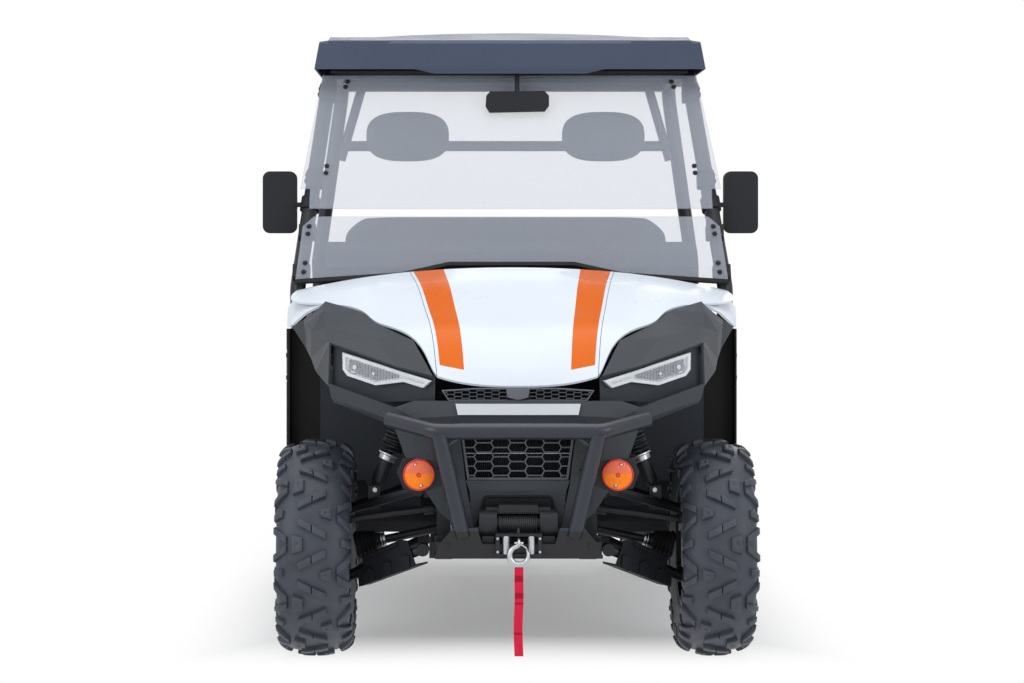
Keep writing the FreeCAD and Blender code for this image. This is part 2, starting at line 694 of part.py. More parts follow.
def inner_fenders():
    """Liners of the wheel arches beside the frame."""
    wall = side_prism([(-1285, 600), (-1285, 716), (-1200, 860), (-640, 905), (-640, 420), (-700, 420), (-760, 560),
                       (-1180, 560)], 292, 297)
    roof = poly([V(292, -1200, 856), V(530, -1200, 856), V(600, -640, 902), V(292, -640, 902)], V(0, 0, 5))
    back = poly([V(292, -645, 420), V(420, -645, 420), V(470, -645, 500), V(650, -645, 504), V(712, -645, 560),
                 V(712, -645, 985), V(600, -645, 985), V(600, -645, 905), V(292, -645, 905)], V(0, 5, 0))
    edge = box(706, 712, -690, -642, 560, 985)
    liner = fuse([wall, roof, back, edge])
    z = FRONT_SHOCK_TOP.z + SHOCK_BEAM_UP
    half = SHOCK_BEAM_H / 2 + FIT
    return both(liner.cut(box(280, 390, FRONT_Y - 50 - FIT, FRONT_Y + 10 + FIT, z - half, z + half)))


def radiator():
    core = box(-170, 170, -1336, -1296, 590, 712)
    return fuse([core, box(-184, 184, -1341, -1290, 700, 724), box(-184, 184, -1341, -1262, 578 + FIT, 600)])


def bull_bar():
    """Bent top tube, two uprights, gussets and the folded plate at the bottom."""
    top = tube([V(-372, -1392, 748), V(-240, -1500, 721), V(240, -1500, 721), V(372, -1392, 748)], 23, 60)
    parts = [top]
    for s in (-1, 1):
        parts.append(rod(V(s * 226, -1500, 715), V(s * 158, -1484, 420), 23))
        parts.append(rod(V(s * 214, -1500, 672), V(s * 150, -1500, 716), 7))
        z = RAIL_Z + KICK_UP
        parts.append(bar(V(s * RAIL_X, -1488, z), V(s * RAIL_X, KICK_END_Y - FIT, z), 40, 34))
    plate = front_prism([(-240, 362), (240, 362), (226, 400), (186, 446), (118, 446), (104, 400),
                         (-104, 400), (-118, 446), (-186, 446), (-226, 400)], -1494, -1486)
    parts.append(plate)
    parts.append(box(-240, 240, -1490, -1404, 358, 366))
    return fuse(parts)


def winch():
    """Drum between two end housings on the plate, with the roller fairlead before it."""
    parts = [rod(V(-112, -1436, 452), V(112, -1436, 452), 22),
             rod(V(-112, -1436, 452), V(-62, -1436, 452), 42), rod(V(62, -1436, 452), V(112, -1436, 452), 42),
             box(-104, -70, -1470, -1402, 366.3, 420), box(70, 104, -1470, -1402, 366.3, 420),
             box(-56, 56, -1462, -1412, 488, 508), box(-92, 92, -1450, -1422, 482, 500)]
    fair = [box(-66, 66, -1514, -1494.3, 366, 374), box(-66, 66, -1514, -1494.3, 424, 432),
            box(-66, -54, -1514, -1494.3, 366, 432), box(54, 66, -1514, -1494.3, 366, 432),
            rod(V(-36, -1506, 370), V(-36, -1506, 428), 9), rod(V(36, -1506, 370), V(36, -1506, 428), 9)]
    return [fuse(parts), fuse(fair)]


def winch_hook():
    """Clevis and hook of flat steel hanging below the fairlead."""
    y = NOSE_Y + 13
    shank = rod(V(0, y, 384), V(0, y, 406), 8)
    eye = rod(V(0, y - 13, 406), V(0, y + 9, 406), 13)
    ring = Part.makeTorus(21, 7, V(0, y, 366), V(0, 1, 0))
    line = rod(V(0, y + 8, 404), V(0, -1450, 440), 4).cut(rod(V(-20, -1436, 452), V(20, -1436, 452), 22 + FIT))
    return fuse([shank, eye, ring, line])


def hook_strap():
    return box(-14, 14, NOSE_Y + 12.2, NOSE_Y + 13.8, 85, 338 - FIT)


def marker_lamps():
    parts = []
    for s in (-1, 1):
        c = V(s * 285, -1452, 593)
        parts.append(fuse([rod(c, c + V(0, 26, 0), 46), rod(c + V(0, -9, 0), c, 34, 44)]))
    return parts


def lamp_brackets():
    out = front_prism([(217, 560), (240, 632), (330, 640), (349, 600), (330, 551), (260, 545)], -1425.7, -1420)
    arm = box(180, 240, -1425.7, -1375, 600, 606)
    return both(fuse([out, arm]))


# Cab

def floor_tub():
    """Floor, toe board, sills, seat box and lower back wall in one moulding."""
    t = SKIN
    h = CAB_HALF
    z = FLOOR_Z + FIT
    floor = box(-h, h, FIREWALL_Y, SEAT_FRONT_Y, z, z + t)
    wall = side_prism([(FIREWALL_Y, z), (FIREWALL_Y + t, z), (FIREWALL_Y + t, 1010), (FIREWALL_Y, 1010)], -h, h)
    toe = side_prism([(FIREWALL_Y, 540), (FIREWALL_Y + 180, z), (FIREWALL_Y + 188, z), (FIREWALL_Y + 8, 546)],
                     -h, h)
    seat = box(-h, h, SEAT_FRONT_Y, CAB_BACK_Y, z, DECK_Z)
    seat = seat.cut(box(-h + t, h - t, SEAT_FRONT_Y + t, CAB_BACK_Y - t, z - 10, DECK_Z - t))
    seat = seat.cut(box(-240, 240, CAB_BACK_Y - t - 5, CAB_BACK_Y + 5, z - 5, DECK_Z - 20))
    back = box(-h, h, CAB_BACK_Y - t, CAB_BACK_Y, DECK_Z - 10, 1090)
    tunnel = box(-46, 46, FIREWALL_Y, SEAT_FRONT_Y + t, z, SHAFT_Z + 32)
    parts = [floor, wall, toe, seat, back, tunnel]
    for s in (-1, 1):
        x0, x1 = sorted((s * (h - 10), s * 684))
        sill = box(x0, x1, -560, CAB_BACK_Y, 346, 412)
        sill = sill.cut(box(x0 + t, x1 - t, -555, CAB_BACK_Y - t, 340, 407))
        parts.append(sill)
        parts.append(side_prism([(-566, 346), (-520, 346), (-520, 1000), (-566, 1080)], min(s * 604, s * 630),
                                max(s * 604, s * 630)))
    return fuse(parts).cut(box(-46 + t, 46 - t, FIREWALL_Y - 5, SEAT_FRONT_Y + t + 1, z - 5, SHAFT_Z + 32 - t))


def roll_cage():
    """Two side loops of bent tube, tied by cross bars."""
    r = CAGE_D / 2
    parts = []
    for s in (-1, 1):
        loop = [V(s * POST_FOOT.x, POST_FOOT.y, POST_FOOT.z), V(s * PILLAR_FOOT.x, PILLAR_FOOT.y, PILLAR_FOOT.z),
                V(s * PILLAR_TOP.x, PILLAR_TOP.y, PILLAR_TOP.z), V(s * 590, 484, RAIL_TOP_Z),
                V(s * 682, 496, 1190), V(s * 650, 496, RAIL_Z + 28)]
        parts.append(tube(loop, r, 90))
        parts.append(bar(V(s * 668, -548, 412.3), V(s * 668, -548, 420), 70, 70))
        parts.append(box(s * 650 - 35, s * 650 + 35, 472, 524, RAIL_Z + 20 + FIT, RAIL_Z + 30))
    for y, z, x in ((PILLAR_TOP.y, RAIL_TOP_Z, PILLAR_TOP.x), (484, RAIL_TOP_Z, 590), (488, 1613, 622), (496, 1130, 678)):
        parts.append(rod(V(-x, y, z), V(x, y, z), r if z == RAIL_TOP_Z else 19))
    parts.append(rod(V(-600, 140, RAIL_TOP_Z), V(600, 140, RAIL_TOP_Z), 19))
    for s in (-1, 1):
        parts.append(rod(V(s * 600, 486, 1560), V(s * 520, 484, RAIL_TOP_Z), 17))
        for y in (-120, 400):
            parts.append(box(min(s * 560, s * 600), max(s * 560, s * 600), y - 25, y + 25, RAIL_TOP_Z, ROOF_PAD_Z))
    return fuse(parts)


def roof_form(inset):
    """Arched cross section met with the side profile; inset shrinks it for the hollow."""
    h = ROOF_HALF - inset
    z0 = ROOF_Z
    top = ROOF_Z + ROOF_RISE - inset
    edge = ROOF_Z + ROOF_EDGE - inset
    arc = Part.Arc(V(-h + 16, 0, edge), V(0, 0, top), V(h - 16, 0, edge)).toShape()
    sides = Part.makePolygon([V(h - 16, 0, edge), V(h, 0, z0), V(-h, 0, z0), V(-h + 16, 0, edge)])
    across = Part.Face(Part.Wire([arc] + sides.Edges))
    across.translate(V(0, ROOF_FRONT_Y - 50, 0))
    across = across.extrude(V(0, ROOF_BACK_Y - ROOF_FRONT_Y + 100, 0))
    y0 = ROOF_FRONT_Y + inset
    y1 = ROOF_BACK_Y - inset
    along = side_prism([(y0, z0 - 1), (y0 + 14, edge - 6), (y0 + 30, edge + 6), (y0 + 330, top), (y1 - 380, top + 1),
                        (y1 - 60, edge + 12), (y1 - 20, edge - 12), (y1, z0 - 1)], -h, h)
    return across.common(along)


def roof():
    """Moulded shell with two raised side lobes, a stepped front lip and feet on the cage's pads."""
    lobes = []
    for s in (-1, 1):
        x0, x1 = sorted((s * 402, s * 604))
        lobes.append(side_prism([(ROOF_FRONT_Y + 9, ROOF_Z + 40), (ROOF_FRONT_Y + 17, ROOF_Z + ROOF_EDGE + 2),
                                 (ROOF_FRONT_Y + 150, ROOF_Z + ROOF_EDGE + 26), (ROOF_BACK_Y - 320, ROOF_Z + ROOF_EDGE + 30),
                                 (ROOF_BACK_Y - 90, ROOF_Z + ROOF_EDGE), (ROOF_BACK_Y - 90, ROOF_Z + 40)], x0, x1))
    shell = fuse([roof_form(0)] + lobes).cut(moved(roof_form(SKIN), V(0, 0, -0.5)))
    lip = front_prism([(-352, ROOF_Z + 8), (-250, ROOF_Z - 15), (250, ROOF_Z - 15), (352, ROOF_Z + 8)],
                      ROOF_FRONT_Y + 1, ROOF_FRONT_Y + 6)
    feet = [box(min(s * 556, s * 604), max(s * 556, s * 604), y - 28, y + 28, ROOF_PAD_Z + FIT, ROOF_Z + 120)
            for s in (-1, 1) for y in (-120, 400)]
    feet = [f.common(roof_form(2)) for f in feet]
    return fuse([shell, lip] + feet)


LOW_PANE_EDGE = [(-694, 1138), (-355, 1160), (-201, 1194), (201, 1194), (355, 1160), (694, 1138)]


def windscreen():
    """Two clear panes with a gap between them; the lower one follows the bonnet."""
    def pane(points):
        return at_screen(poly([V(x, screen_s(z), 0) for x, z in points], V(0, 0, PANE_T)))

    low = LOW_PANE_EDGE + [(676, 1310), (640, 1342), (-640, 1342), (-676, 1310)]
    half = [(656, 1369), (656, 1434), (688, 1434), (626, 1816)]
    top = half + [(-x, z) for x, z in reversed(half)]
    return [pane(low), pane(top)]


def screen_seal():
    """Rubber strip along the lower pane's bottom edge."""
    up = [V(x, screen_s(z) - FIT, -4) for x, z in LOW_PANE_EDGE]
    down = [V(x, screen_s(z) - 13, -4) for x, z in reversed(LOW_PANE_EDGE)]
    return at_screen(poly(up + down, V(0, 0, 13)))


def screen_clamps():
    """Pads and straps that hold the panes to the pillars."""
    parts = []
    for s in (-1, 1):
        for z in (1171, 1300, 1470, 1762):
            x = PILLAR_FOOT.x - (z - PILLAR_FOOT.z) * (PILLAR_FOOT.x - PILLAR_TOP.x) / (PILLAR_TOP.z - PILLAR_FOOT.z)
            pad = poly([V(s * (x - 34), screen_s(z) - 22, -38), V(s * (x + 22), screen_s(z) - 22, -38),
                        V(s * (x + 22), screen_s(z) + 22, -38), V(s * (x - 34), screen_s(z) + 22, -38)],
                       V(0, 0, 38 - FIT))
            pillar = rod(PILLAR_FOOT, PILLAR_TOP, CAGE_D / 2 + FIT)
            parts.append(largest(at_screen(pad).cut(pillar if s > 0 else flip(pillar))))
    return parts


def side_mirrors():
    """Rounded housings on thin arms clamped to the pillars."""
    shapes = []
    head = box(703, 815, -404, -366, 1290, 1494)
    head = head.makeFillet(24, [e for e in head.Edges if abs(e.BoundBox.YLength - 38) < 1])
    d = (PILLAR_TOP - PILLAR_FOOT).normalize()
    p = PILLAR_FOOT + d * 308
    arm = rod(p + V(27, 4, 0), V(722, -388, p.z), 8)
    clamp = rod(p - d * 22, p + d * 22, CAGE_D / 2 + 7)
    hole = rod(p - d * 40, p + d * 40, CAGE_D / 2 + FIT)
    return both(fuse([head, arm, clamp]).cut(hole))


def interior_mirror():
    """Wide mirror before the upper pane, on a bent stem that reaches over the pane to the front tube."""
    x = 24
    head = front_prism([(x - 92, 1690), (x + 92, 1694), (x + 105, 1712), (x + 105, 1746), (x + 90, 1762),
                        (x - 90, 1760), (x - 103, 1746), (x - 105, 1710)], -352, -330)
    stem = tube([V(x, -331, 1752), V(x, -300, 1828), V(x, PILLAR_TOP.y - 6, RAIL_TOP_Z + 2)], 8, 20)
    tube_hole = rod(V(x - 30, PILLAR_TOP.y, RAIL_TOP_Z), V(x + 30, PILLAR_TOP.y, RAIL_TOP_Z), CAGE_D / 2 + FIT)
    return fuse([head, stem]).cut(tube_hole)


def dashboard():
    """Padded hood over the instruments with its lower panel."""
    shape = side_prism([(-560, 1000), (-400, 905), (-372, 930), (-352, 1180), (-372, 1240), (-440, 1262),
                        (-520, 1230), (-560, 1180)], -604 + FIT, 604 - FIT)
    inner = side_prism([(-562, 1012), (-410, 920), (-386, 936), (-366, 1176), (-382, 1230), (-440, 1250),
                        (-512, 1222), (-562, 1176)], -588, 588)
    return shape.cut(inner).cut(column_tube(26))


def column_tube(r):
    lean = math.radians(COLUMN_LEAN)
    axis = V(0, math.sin(lean), math.cos(lean))
    reach = (WHEEL_HUB.y - FIREWALL_Y - SKIN - r * math.cos(lean) - FIT) / math.sin(lean)
    return rod(WHEEL_HUB - axis * reach, WHEEL_HUB - axis * 38.5, r)


def steering_column():
    """Column tube from the toe board to below the wheel, with two pedals."""
    column = column_tube(22)
    pedals = []
    for x in (290, 400):
        pedals.append(fuse([rod(V(x, FIREWALL_Y + 11, 660), V(x, -470, 550), 8),
                            turned(box(x - 30, x + 30, -476, -466, 500, 570), V(x, -470, 535), V(1, 0, 0), -30)]))
    return [column] + pedals


def steering_wheel():
    """Rim with three spokes about a hub."""
    r = WHEEL_D / 2 - 14
    rim = Part.makeTorus(r, 14, V(0, 0, 0), V(0, 0, 1))
    hub = Part.makeCylinder(44, 34, V(0, 0, -30))
    parts = [rim, hub, Part.makeCylinder(18, 20, V(0, 0, -38))]
    for a in (90, 205, 335):
        spoke = box(0, r, -16, 16, -10, 0)
        spoke.rotate(V(0, 0, 0), V(0, 0, 1), a)
        parts.append(spoke)
    wheel = fuse(parts)
    wheel.rotate(V(0, 0, 0), V(1, 0, 0), -COLUMN_LEAN)
    wheel.translate(WHEEL_HUB)
    return wheel


def cushion(x0, x1, y0, y1, z0, z1, r):
    shape = box(x0, x1, y0, y1, z0, z1)
    return shape.makeFillet(r, shape.Edges)


def seat_cushion():
    return cushion(-582, 582, -70, 380, DECK_Z + FIT, DECK_Z + 126, 30)


def seat_backrest():
    back = box(-582, 582, 390, CAB_BACK_Y - SKIN - FIT, DECK_Z + 132, 1353)
    back = back.makeFillet(70, [e for e in back.Edges if abs(e.BoundBox.ZLength) < 1 and e.BoundBox.XLength < 1
                                and e.BoundBox.ZMax > 1300])
    return back


def headrests():
    """Oval pads on brackets before the upper cross bar."""
    x, z = 355, 1645
    oval = Part.Ellipse(V(0, 0, 0), 150, 90).toShape()
    face = Part.Face(Part.Wire([oval]))
    pad = face.extrude(V(0, 0, 64))
    pad = pad.makeFillet(24, pad.Edges)
    pad.rotate(V(0, 0, 0), V(1, 0, 0), 90)
    pad.translate(V(x, 466, z))
    bracket = box(x - 25, x + 25, 440, 468.5, 1590, 1636)
    return both(fuse([pad, bracket]))


# Rear of the body

def cargo_bed():
    """Tray with folded walls, ribs under the floor and pivot lugs."""
    h = BED_HALF
    z = BED_FLOOR_Z
    top = z + BED_WALL_H
    t = BED_WALL_T
    tray = box(-h, h, BED_FRONT_Y, BED_BACK_Y, z - 12, top)
    tray = tray.cut(box(-h + t, h - t, BED_FRONT_Y + t, BED_BACK_Y + 10, z, top + 10))
    parts = [tray]
    for s in (-1, 1):
        x0, x1 = sorted((s * (h - BED_POST), s * h))
        parts.append(box(x0, x1, BED_BACK_Y - 40, BED_BACK_Y + GAP + GATE_T, z - 12, top))
        x = s * RAIL_X
        parts.append(box(x - 18, x + 18, 600, BED_PIVOT.y + 18, z - 40, z - 10))
        parts.append(side_prism([(BED_PIVOT.y - 16, z - 36), (BED_PIVOT.y + 16, z - 36),
                                 (BED_PIVOT.y + 10, BED_PIVOT.z - 7), (BED_PIVOT.y, BED_PIVOT.z - 12),
                                 (BED_PIVOT.y - 10, BED_PIVOT.z - 7)], x - 13, x + 13))
    for gx in GATE_LUG_XS:
        for e in (-21, 21):
            parts.append(side_prism([(BED_BACK_Y - 60, z - 12), (BED_BACK_Y - 60, z - 22), (GATE_PIVOT.y - 8, z - 38),
                                     (GATE_PIVOT.y + 12, z - 34), (GATE_PIVOT.y + 12, z - 16),
                                     (BED_BACK_Y, z - 8)], gx + e - 4, gx + e + 4))
        parts.append(rod(V(gx - 24, GATE_PIVOT.y, GATE_PIVOT.z), V(gx + 24, GATE_PIVOT.y, GATE_PIVOT.z), 6))
    bed = fuse(parts)
    return bed.cut([rod(V(s * RAIL_X - 40, BED_PIVOT.y, BED_PIVOT.z), V(s * RAIL_X + 40, BED_PIVOT.y, BED_PIVOT.z), 8)
                    for s in (-1, 1)])


def tailgate():
    """Hollow-backed gate between the walls with hinge knuckles and a handle."""
    y0 = BED_BACK_Y + GAP
    z0 = BED_FLOOR_Z + 8
    half = BED_HALF - BED_POST - GAP
    gate = box(-half, half, y0, y0 + GATE_T, z0, BED_FLOOR_Z + BED_WALL_H)
    gate = gate.cut(box(-half + 60, half - 60, y0 + 10, y0 + GATE_T + 1, z0 + 60, z0 + 230))
    lugs = []
    for x in GATE_LUG_XS:
        lugs.append(rod(V(x - 14, GATE_PIVOT.y, GATE_PIVOT.z), V(x + 14, GATE_PIVOT.y, GATE_PIVOT.z), 13))
        lugs.append(box(x - 14, x + 14, GATE_PIVOT.y - 13, GATE_PIVOT.y + 13, GATE_PIVOT.z, z0 + 4))
    bores = [rod(V(x - 20, GATE_PIVOT.y, GATE_PIVOT.z), V(x + 20, GATE_PIVOT.y, GATE_PIVOT.z), 7) for x in GATE_LUG_XS]
    return fuse([gate] + lugs).cut(bores)


def rear_fenders():
    """Arched flares over the rear wheels, each on a tab at the shock mount."""
    def arc(r, angles):
        return [V(470, REAR_Y + r * math.cos(math.radians(a)), TYRE_R + r * math.sin(math.radians(a))) for a in angles]

    arch_r = TYRE_R + 86
    flare = poly(arc(arch_r, range(18, 163, 12)) + arc(arch_r - 6, range(162, 17, -12)), V(276, 0, 0))
    tab_z = REAR_SHOCK_TOP.z + SHOCK_BEAM_UP + SHOCK_BEAM_H / 2 + FIT
    return both(fuse([flare, box(330, 480, REAR_Y - 40, REAR_Y, tab_z, tab_z + 8)]))


def tail_lamps():
    y0 = BED_BACK_Y + GAP + GATE_T + FIT
    lamp = box(BED_HALF - 66, BED_HALF - 14, y0, y0 + 10, BED_FLOOR_Z + 40, BED_FLOOR_Z + 200)
    return both(lamp.makeFillet(4, [e for e in lamp.Edges if abs(e.BoundBox.YLength - 10) < 0.1]))


# Doors, knuckles and steering

def door_hinges():
    """Pins that carry the doors, on blocks at the front posts, left side first."""
    shapes = []
    for z in HINGE_ZS:
        pin = rod(V(HINGE_X, HINGE_Y, z - 30), V(HINGE_X, HINGE_Y, z + 30), 6)
        post = POST_FOOT + (PILLAR_FOOT - POST_FOOT) * ((z - POST_FOOT.z) / (PILLAR_FOOT.z - POST_FOOT.z))
        d = (PILLAR_FOOT - POST_FOOT).normalize()
        ring = rod(post - d * 43, post + d * 43, CAGE_D / 2 + 7)
        hole = rod(post - d * 60, post + d * 60, CAGE_D / 2 + FIT)
        ears = [box(post.x, HINGE_X + 9, post.y - 9, post.y + 9, z + e * 36 - 7, z + e * 36 + 7) for e in (-1, 1)]
        ears += [box(HINGE_X - 9, HINGE_X + 9, post.y - 9, HINGE_Y + 9, z + e * 36 - 7, z + e * 36 + 7)
                 for e in (-1, 1)]
        shapes += both(fuse([pin, ring] + ears).cut(hole))
    return shapes


def door():
    """Half door of one moulding with a sunken outer field and a grab hole at the back."""
    outline = [(DOOR_FRONT_Y, 430), (DOOR_BACK_Y - 60, 430), (DOOR_BACK_Y, 520), (DOOR_BACK_Y, 1010),
               (DOOR_BACK_Y - 90, 1040), (-120, 940), (DOOR_FRONT_Y, 980)]
    panel = side_prism(outline, DOOR_X, DOOR_X + DOOR_T)
    field = side_prism([(-420, 500), (320, 500), (360, 560), (360, 900), (-100, 860), (-420, 890)],
                       DOOR_X + DOOR_T - 14, DOOR_X + DOOR_T + 5)
    panel = panel.cut(field)
    lugs = []
    for z in HINGE_ZS:
        panel = panel.cut(box(HINGE_X - 18, HINGE_X + 18, HINGE_Y - 60, HINGE_Y + 18, z - 52, z + 52))
        lugs += [rod(V(HINGE_X, HINGE_Y, z - 27), V(HINGE_X, HINGE_Y, z + 27), 12),
                 box(DOOR_X, HINGE_X, HINGE_Y + 4, HINGE_Y + 30, z - 27, z + 27)]
    leaf = fuse([panel] + lugs)
    return leaf.cut([rod(V(HINGE_X, HINGE_Y, z - 60), V(HINGE_X, HINGE_Y, z + 60), 7) for z in HINGE_ZS])


def knuckle():
    """Steered upright with king pins, stub axle and steering arm, left side."""
    y = FRONT_Y
    x = KINGPIN_X
    upright = side_prism([(y - 30, 268), (y + 30, 268), (y + 42, 296), (y + 42, 370), (y + 28, 422), (y - 28, 422),
                          (y - 42, 370), (y - 42, 296)], x - 12, x + 16)
    stub = rod(V(x + 10, y, TYRE_R), V(FRONT_TRACK / 2 + 48, y, TYRE_R), HUB_R)
    pins = rod(V(x, y, LOW_BALL_Z - 8), V(x, y, TOP_BALL_Z + 8), 8)
    arm = bar(V(x, y - 20, STEER_ARM_Z), V(x - 18, y - STEER_ARM - 14, STEER_ARM_Z), 30, 22)
    return fuse([upright, stub, pins, arm])


def tie_rods():
    """Rack bar with a rod to each steering arm; the outer eyes lie on the arms."""
    y = FRONT_Y - STEER_ARM
    eye_z = STEER_ARM_Z + 11.8
    parts = [rod(V(-262, y, RACK_Z), V(262, y, RACK_Z), 10)]
    for s in (-1, 1):
        inner = V(s * 262, y, RACK_Z)
        outer = V(s * (KINGPIN_X - 16), y, eye_z + 10)
        parts += [rod(inner, outer, 9), rod(V(outer.x, y, eye_z), V(outer.x, y, eye_z + 20), 17),
                  rod(inner - V(s * 16, 0, 0), inner + V(s * 14, 0, -3), 16)]
    return fuse(parts)


def steering_rack():
    """Housing of the rack, bolted to the pivot posts, with its bellows' ends."""
    y = FRONT_Y - STEER_ARM
    side = RAIL_X - 15 - FIT
    house = fuse([rod(V(-170, y, RACK_Z), V(170, y, RACK_Z), 26), box(-60, 60, y - 30, y + 30, RACK_Z - 27, RACK_Z + 41),
                  box(-side, side, y - 62, y - 16, RACK_Z + 15, RACK_Z + 25)])
    return house.cut(rod(V(-200, y, RACK_Z), V(200, y, RACK_Z), 11))


def build():
    nodes = {
        "chassis_frame": chassis_frame(),
        "front_frame": front_frame(),
        "rear_frame": rear_frame(),
        "suspension_arms": suspension_arms(),
        "arm_guards": arm_guards(),
        "shock_absorbers": shock_absorbers(),
        "drive_axles": drive_axles(),
        "engine_block": [engine_block()],
        "muffler": [muffler()],
        "hitch_receiver": [hitch()],
        "hood": [hood()],
        "front_fenders": front_fenders(),
        "front_fascia": [front_fascia()],
        "grille": grille(),
        "nose_plate": [nose_plate()],
        "headlamps": headlamps(),
        "lamp_bezels": lamp_bezels(),
        "inner_fenders": inner_fenders(),
        "radiator": [radiator()],
        "bull_bar": [bull_bar()],
        "winch": winch(),
        "winch_hook": [winch_hook()],
        "hook_strap": [hook_strap()],
        "marker_lamps": marker_lamps(),
        "lamp_brackets": lamp_brackets(),
        "floor_tub": [floor_tub()],
        "roll_cage": [roll_cage()],
        "roof": [roof()],
        "windscreen": windscreen(),
        "screen_seal": [screen_seal()],
        "screen_clamps": screen_clamps(),
        "side_mirrors": side_mirrors(),
        "interior_mirror": [interior_mirror()],
        "dashboard": [dashboard()],
        "steering_column": steering_column(),
        "steering_rack": [steering_rack()],
        "steering_wheel": [steering_wheel()],
        "seat_cushion": [seat_cushion()],
        "seat_backrest": [seat_backrest()],
        "headrests": headrests(),
        "cargo_bed": [cargo_bed()],
        "tailgate": [tailgate()],
        "rear_fenders": rear_fenders(),
        "tail_lamps": tail_lamps(),
        "tie_rods": [tie_rods()],
        "door_hinges": door_hinges(),
        "door_left": [door()],
        "door_right": [flip(door())],
        "knuckle_front_left": [knuckle()],
        "knuckle_front_right": [flip(knuckle())],
    }
    for end, track, width, y in (("front", FRONT_TRACK, FRONT_TYRE_W, FRONT_Y),
                                 ("rear", REAR_TRACK, REAR_TYRE_W, REAR_Y)):
        rubber, metal = tyre(width), rim(width)
        for name, side in (("left", 1), ("right", -1)):
            nodes["tyre_%s_%s" % (end, name)] = [place_wheel(rubber, side, track, y)]
            nodes["rim_%s_%s" % (end, name)] = [place_wheel(metal, side, track, y)]
    return nodes


def trimmed(nodes):
    """Flat pieces that meet are cut back to each other's faces."""
    for name, other in (("front_fenders", "front_fascia"), ("headlamps", "front_fenders"),
                        ("headlamps", "front_fascia"), ("lamp_bezels", "front_fenders"),
                        ("lamp_bezels", "front_fascia"), ("lamp_bezels", "inner_fenders"),
                        ("nose_plate", "front_fascia"),
                        ("lamp_brackets", "front_fascia")):
        nodes[name] = [largest(shape.cut(nodes[other])) for shape in nodes[name]]
    return nodes


def main():
    os.makedirs("parts", exist_ok=True)
    for name, shapes in trimmed(build()).items():
        solids = [s for shape in shapes for s in shape.Solids]
        out = solids[0] if len(solids) == 1 else Part.makeCompound(solids)
        out.exportStep(os.path.join("parts", name + ".step"))


main()
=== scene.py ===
import json
import math

import bpy
import numpy as np
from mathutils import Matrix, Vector

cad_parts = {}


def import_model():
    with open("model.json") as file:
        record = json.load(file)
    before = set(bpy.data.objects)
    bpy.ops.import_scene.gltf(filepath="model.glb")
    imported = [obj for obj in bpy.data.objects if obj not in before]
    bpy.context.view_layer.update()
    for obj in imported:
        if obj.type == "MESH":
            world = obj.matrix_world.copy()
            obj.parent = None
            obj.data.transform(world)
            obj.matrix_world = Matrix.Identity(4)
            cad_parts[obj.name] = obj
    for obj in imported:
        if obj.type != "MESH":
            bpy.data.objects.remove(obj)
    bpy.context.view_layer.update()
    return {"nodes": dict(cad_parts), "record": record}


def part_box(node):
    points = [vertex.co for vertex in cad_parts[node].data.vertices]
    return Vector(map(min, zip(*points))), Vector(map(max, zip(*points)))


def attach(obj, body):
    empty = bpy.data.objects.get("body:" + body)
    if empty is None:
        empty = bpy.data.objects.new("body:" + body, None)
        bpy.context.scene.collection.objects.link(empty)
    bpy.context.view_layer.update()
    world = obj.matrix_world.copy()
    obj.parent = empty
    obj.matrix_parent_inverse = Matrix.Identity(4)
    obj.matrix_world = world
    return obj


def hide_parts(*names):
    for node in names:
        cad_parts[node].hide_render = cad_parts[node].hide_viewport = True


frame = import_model()
tau = 2 * math.pi

# The carrying body, directions, and sizes in metres that several pieces share with the CAD model

BODY = next(iter(frame["record"]["behaviour"]["bodies"]))
SIDEWAYS, FORWARD, UP = (1, 0, 0), (0, -1, 0), (0, 0, 1)
WHEEL_R = 0.33
WHEELS = (("front", 0.232, 1.204, -0.98), ("rear", 0.270, 1.190, 1.02))  # end, tyre's width, track, axle's y
SIDES = (("left", 1), ("right", -1))
CAGE_R = 0.025
LAMP_X, LAMP_Y, LAMP_RAKE = 0.540, -1.235, 0.464
DRUM_Y, DRUM_Z = -1.436, 0.452
HOOK_Y = -1.527
GATE_FIELD_Y = 1.504


# Meshes

def mesh_object(name, verts, faces, smooth=30.0):
    """A mesh object at the origin; its edges are sharp where the surface turns by more than smooth, in degrees."""
    mesh = bpy.data.meshes.new(name)
    mesh.from_pydata([tuple(v) for v in np.asarray(verts, float)], [], [tuple(int(i) for i in f) for f in faces])
    mesh.validate(verbose=False)
    mesh.update()
    mesh.polygons.foreach_set("use_smooth", np.ones(len(mesh.polygons), bool))
    mesh.set_sharp_from_angle(angle=math.radians(smooth))
    obj = bpy.data.objects.new(name, mesh)
    bpy.context.collection.objects.link(obj)
    return obj


class Pile:
    """Vertices and faces of many parts that become one object."""

    def __init__(self):
        self.v = []
        self.f = []
        self.n = 0

    def add(self, verts, faces):
        """Adds a part whose faces index its own vertices."""
        verts = np.asarray(verts, float).reshape(-1, 3)
        self.v.append(verts)
        self.f += [tuple(int(i) + self.n for i in face) for face in faces]
        self.n += len(verts)

    def join(self, other):
        """Adds all of another pile."""
        self.v += other.v
        self.f += [tuple(i + self.n for i in f) for f in other.f]
        self.n += other.n

    def flipped(self):
        """The same pile mirrored in x."""
        other = Pile()
        other.v = [v * (-1, 1, 1) for v in self.v]
        other.f = [f[::-1] for f in self.f]
        other.n = self.n
        return other

    def at_wheel(self, sgn, track, y):
        """A pile made about the origin for a left wheel, at the wheel on the side of the sign."""
        pile = self if sgn > 0 else self.flipped()
        pile.v = [v + (sgn * track / 2, y, WHEEL_R) for v in pile.v]
        return pile

    def make(self, name, smooth=30.0):
        """The object of all that was added."""
        return mesh_object(name, np.concatenate(self.v), self.f, smooth)


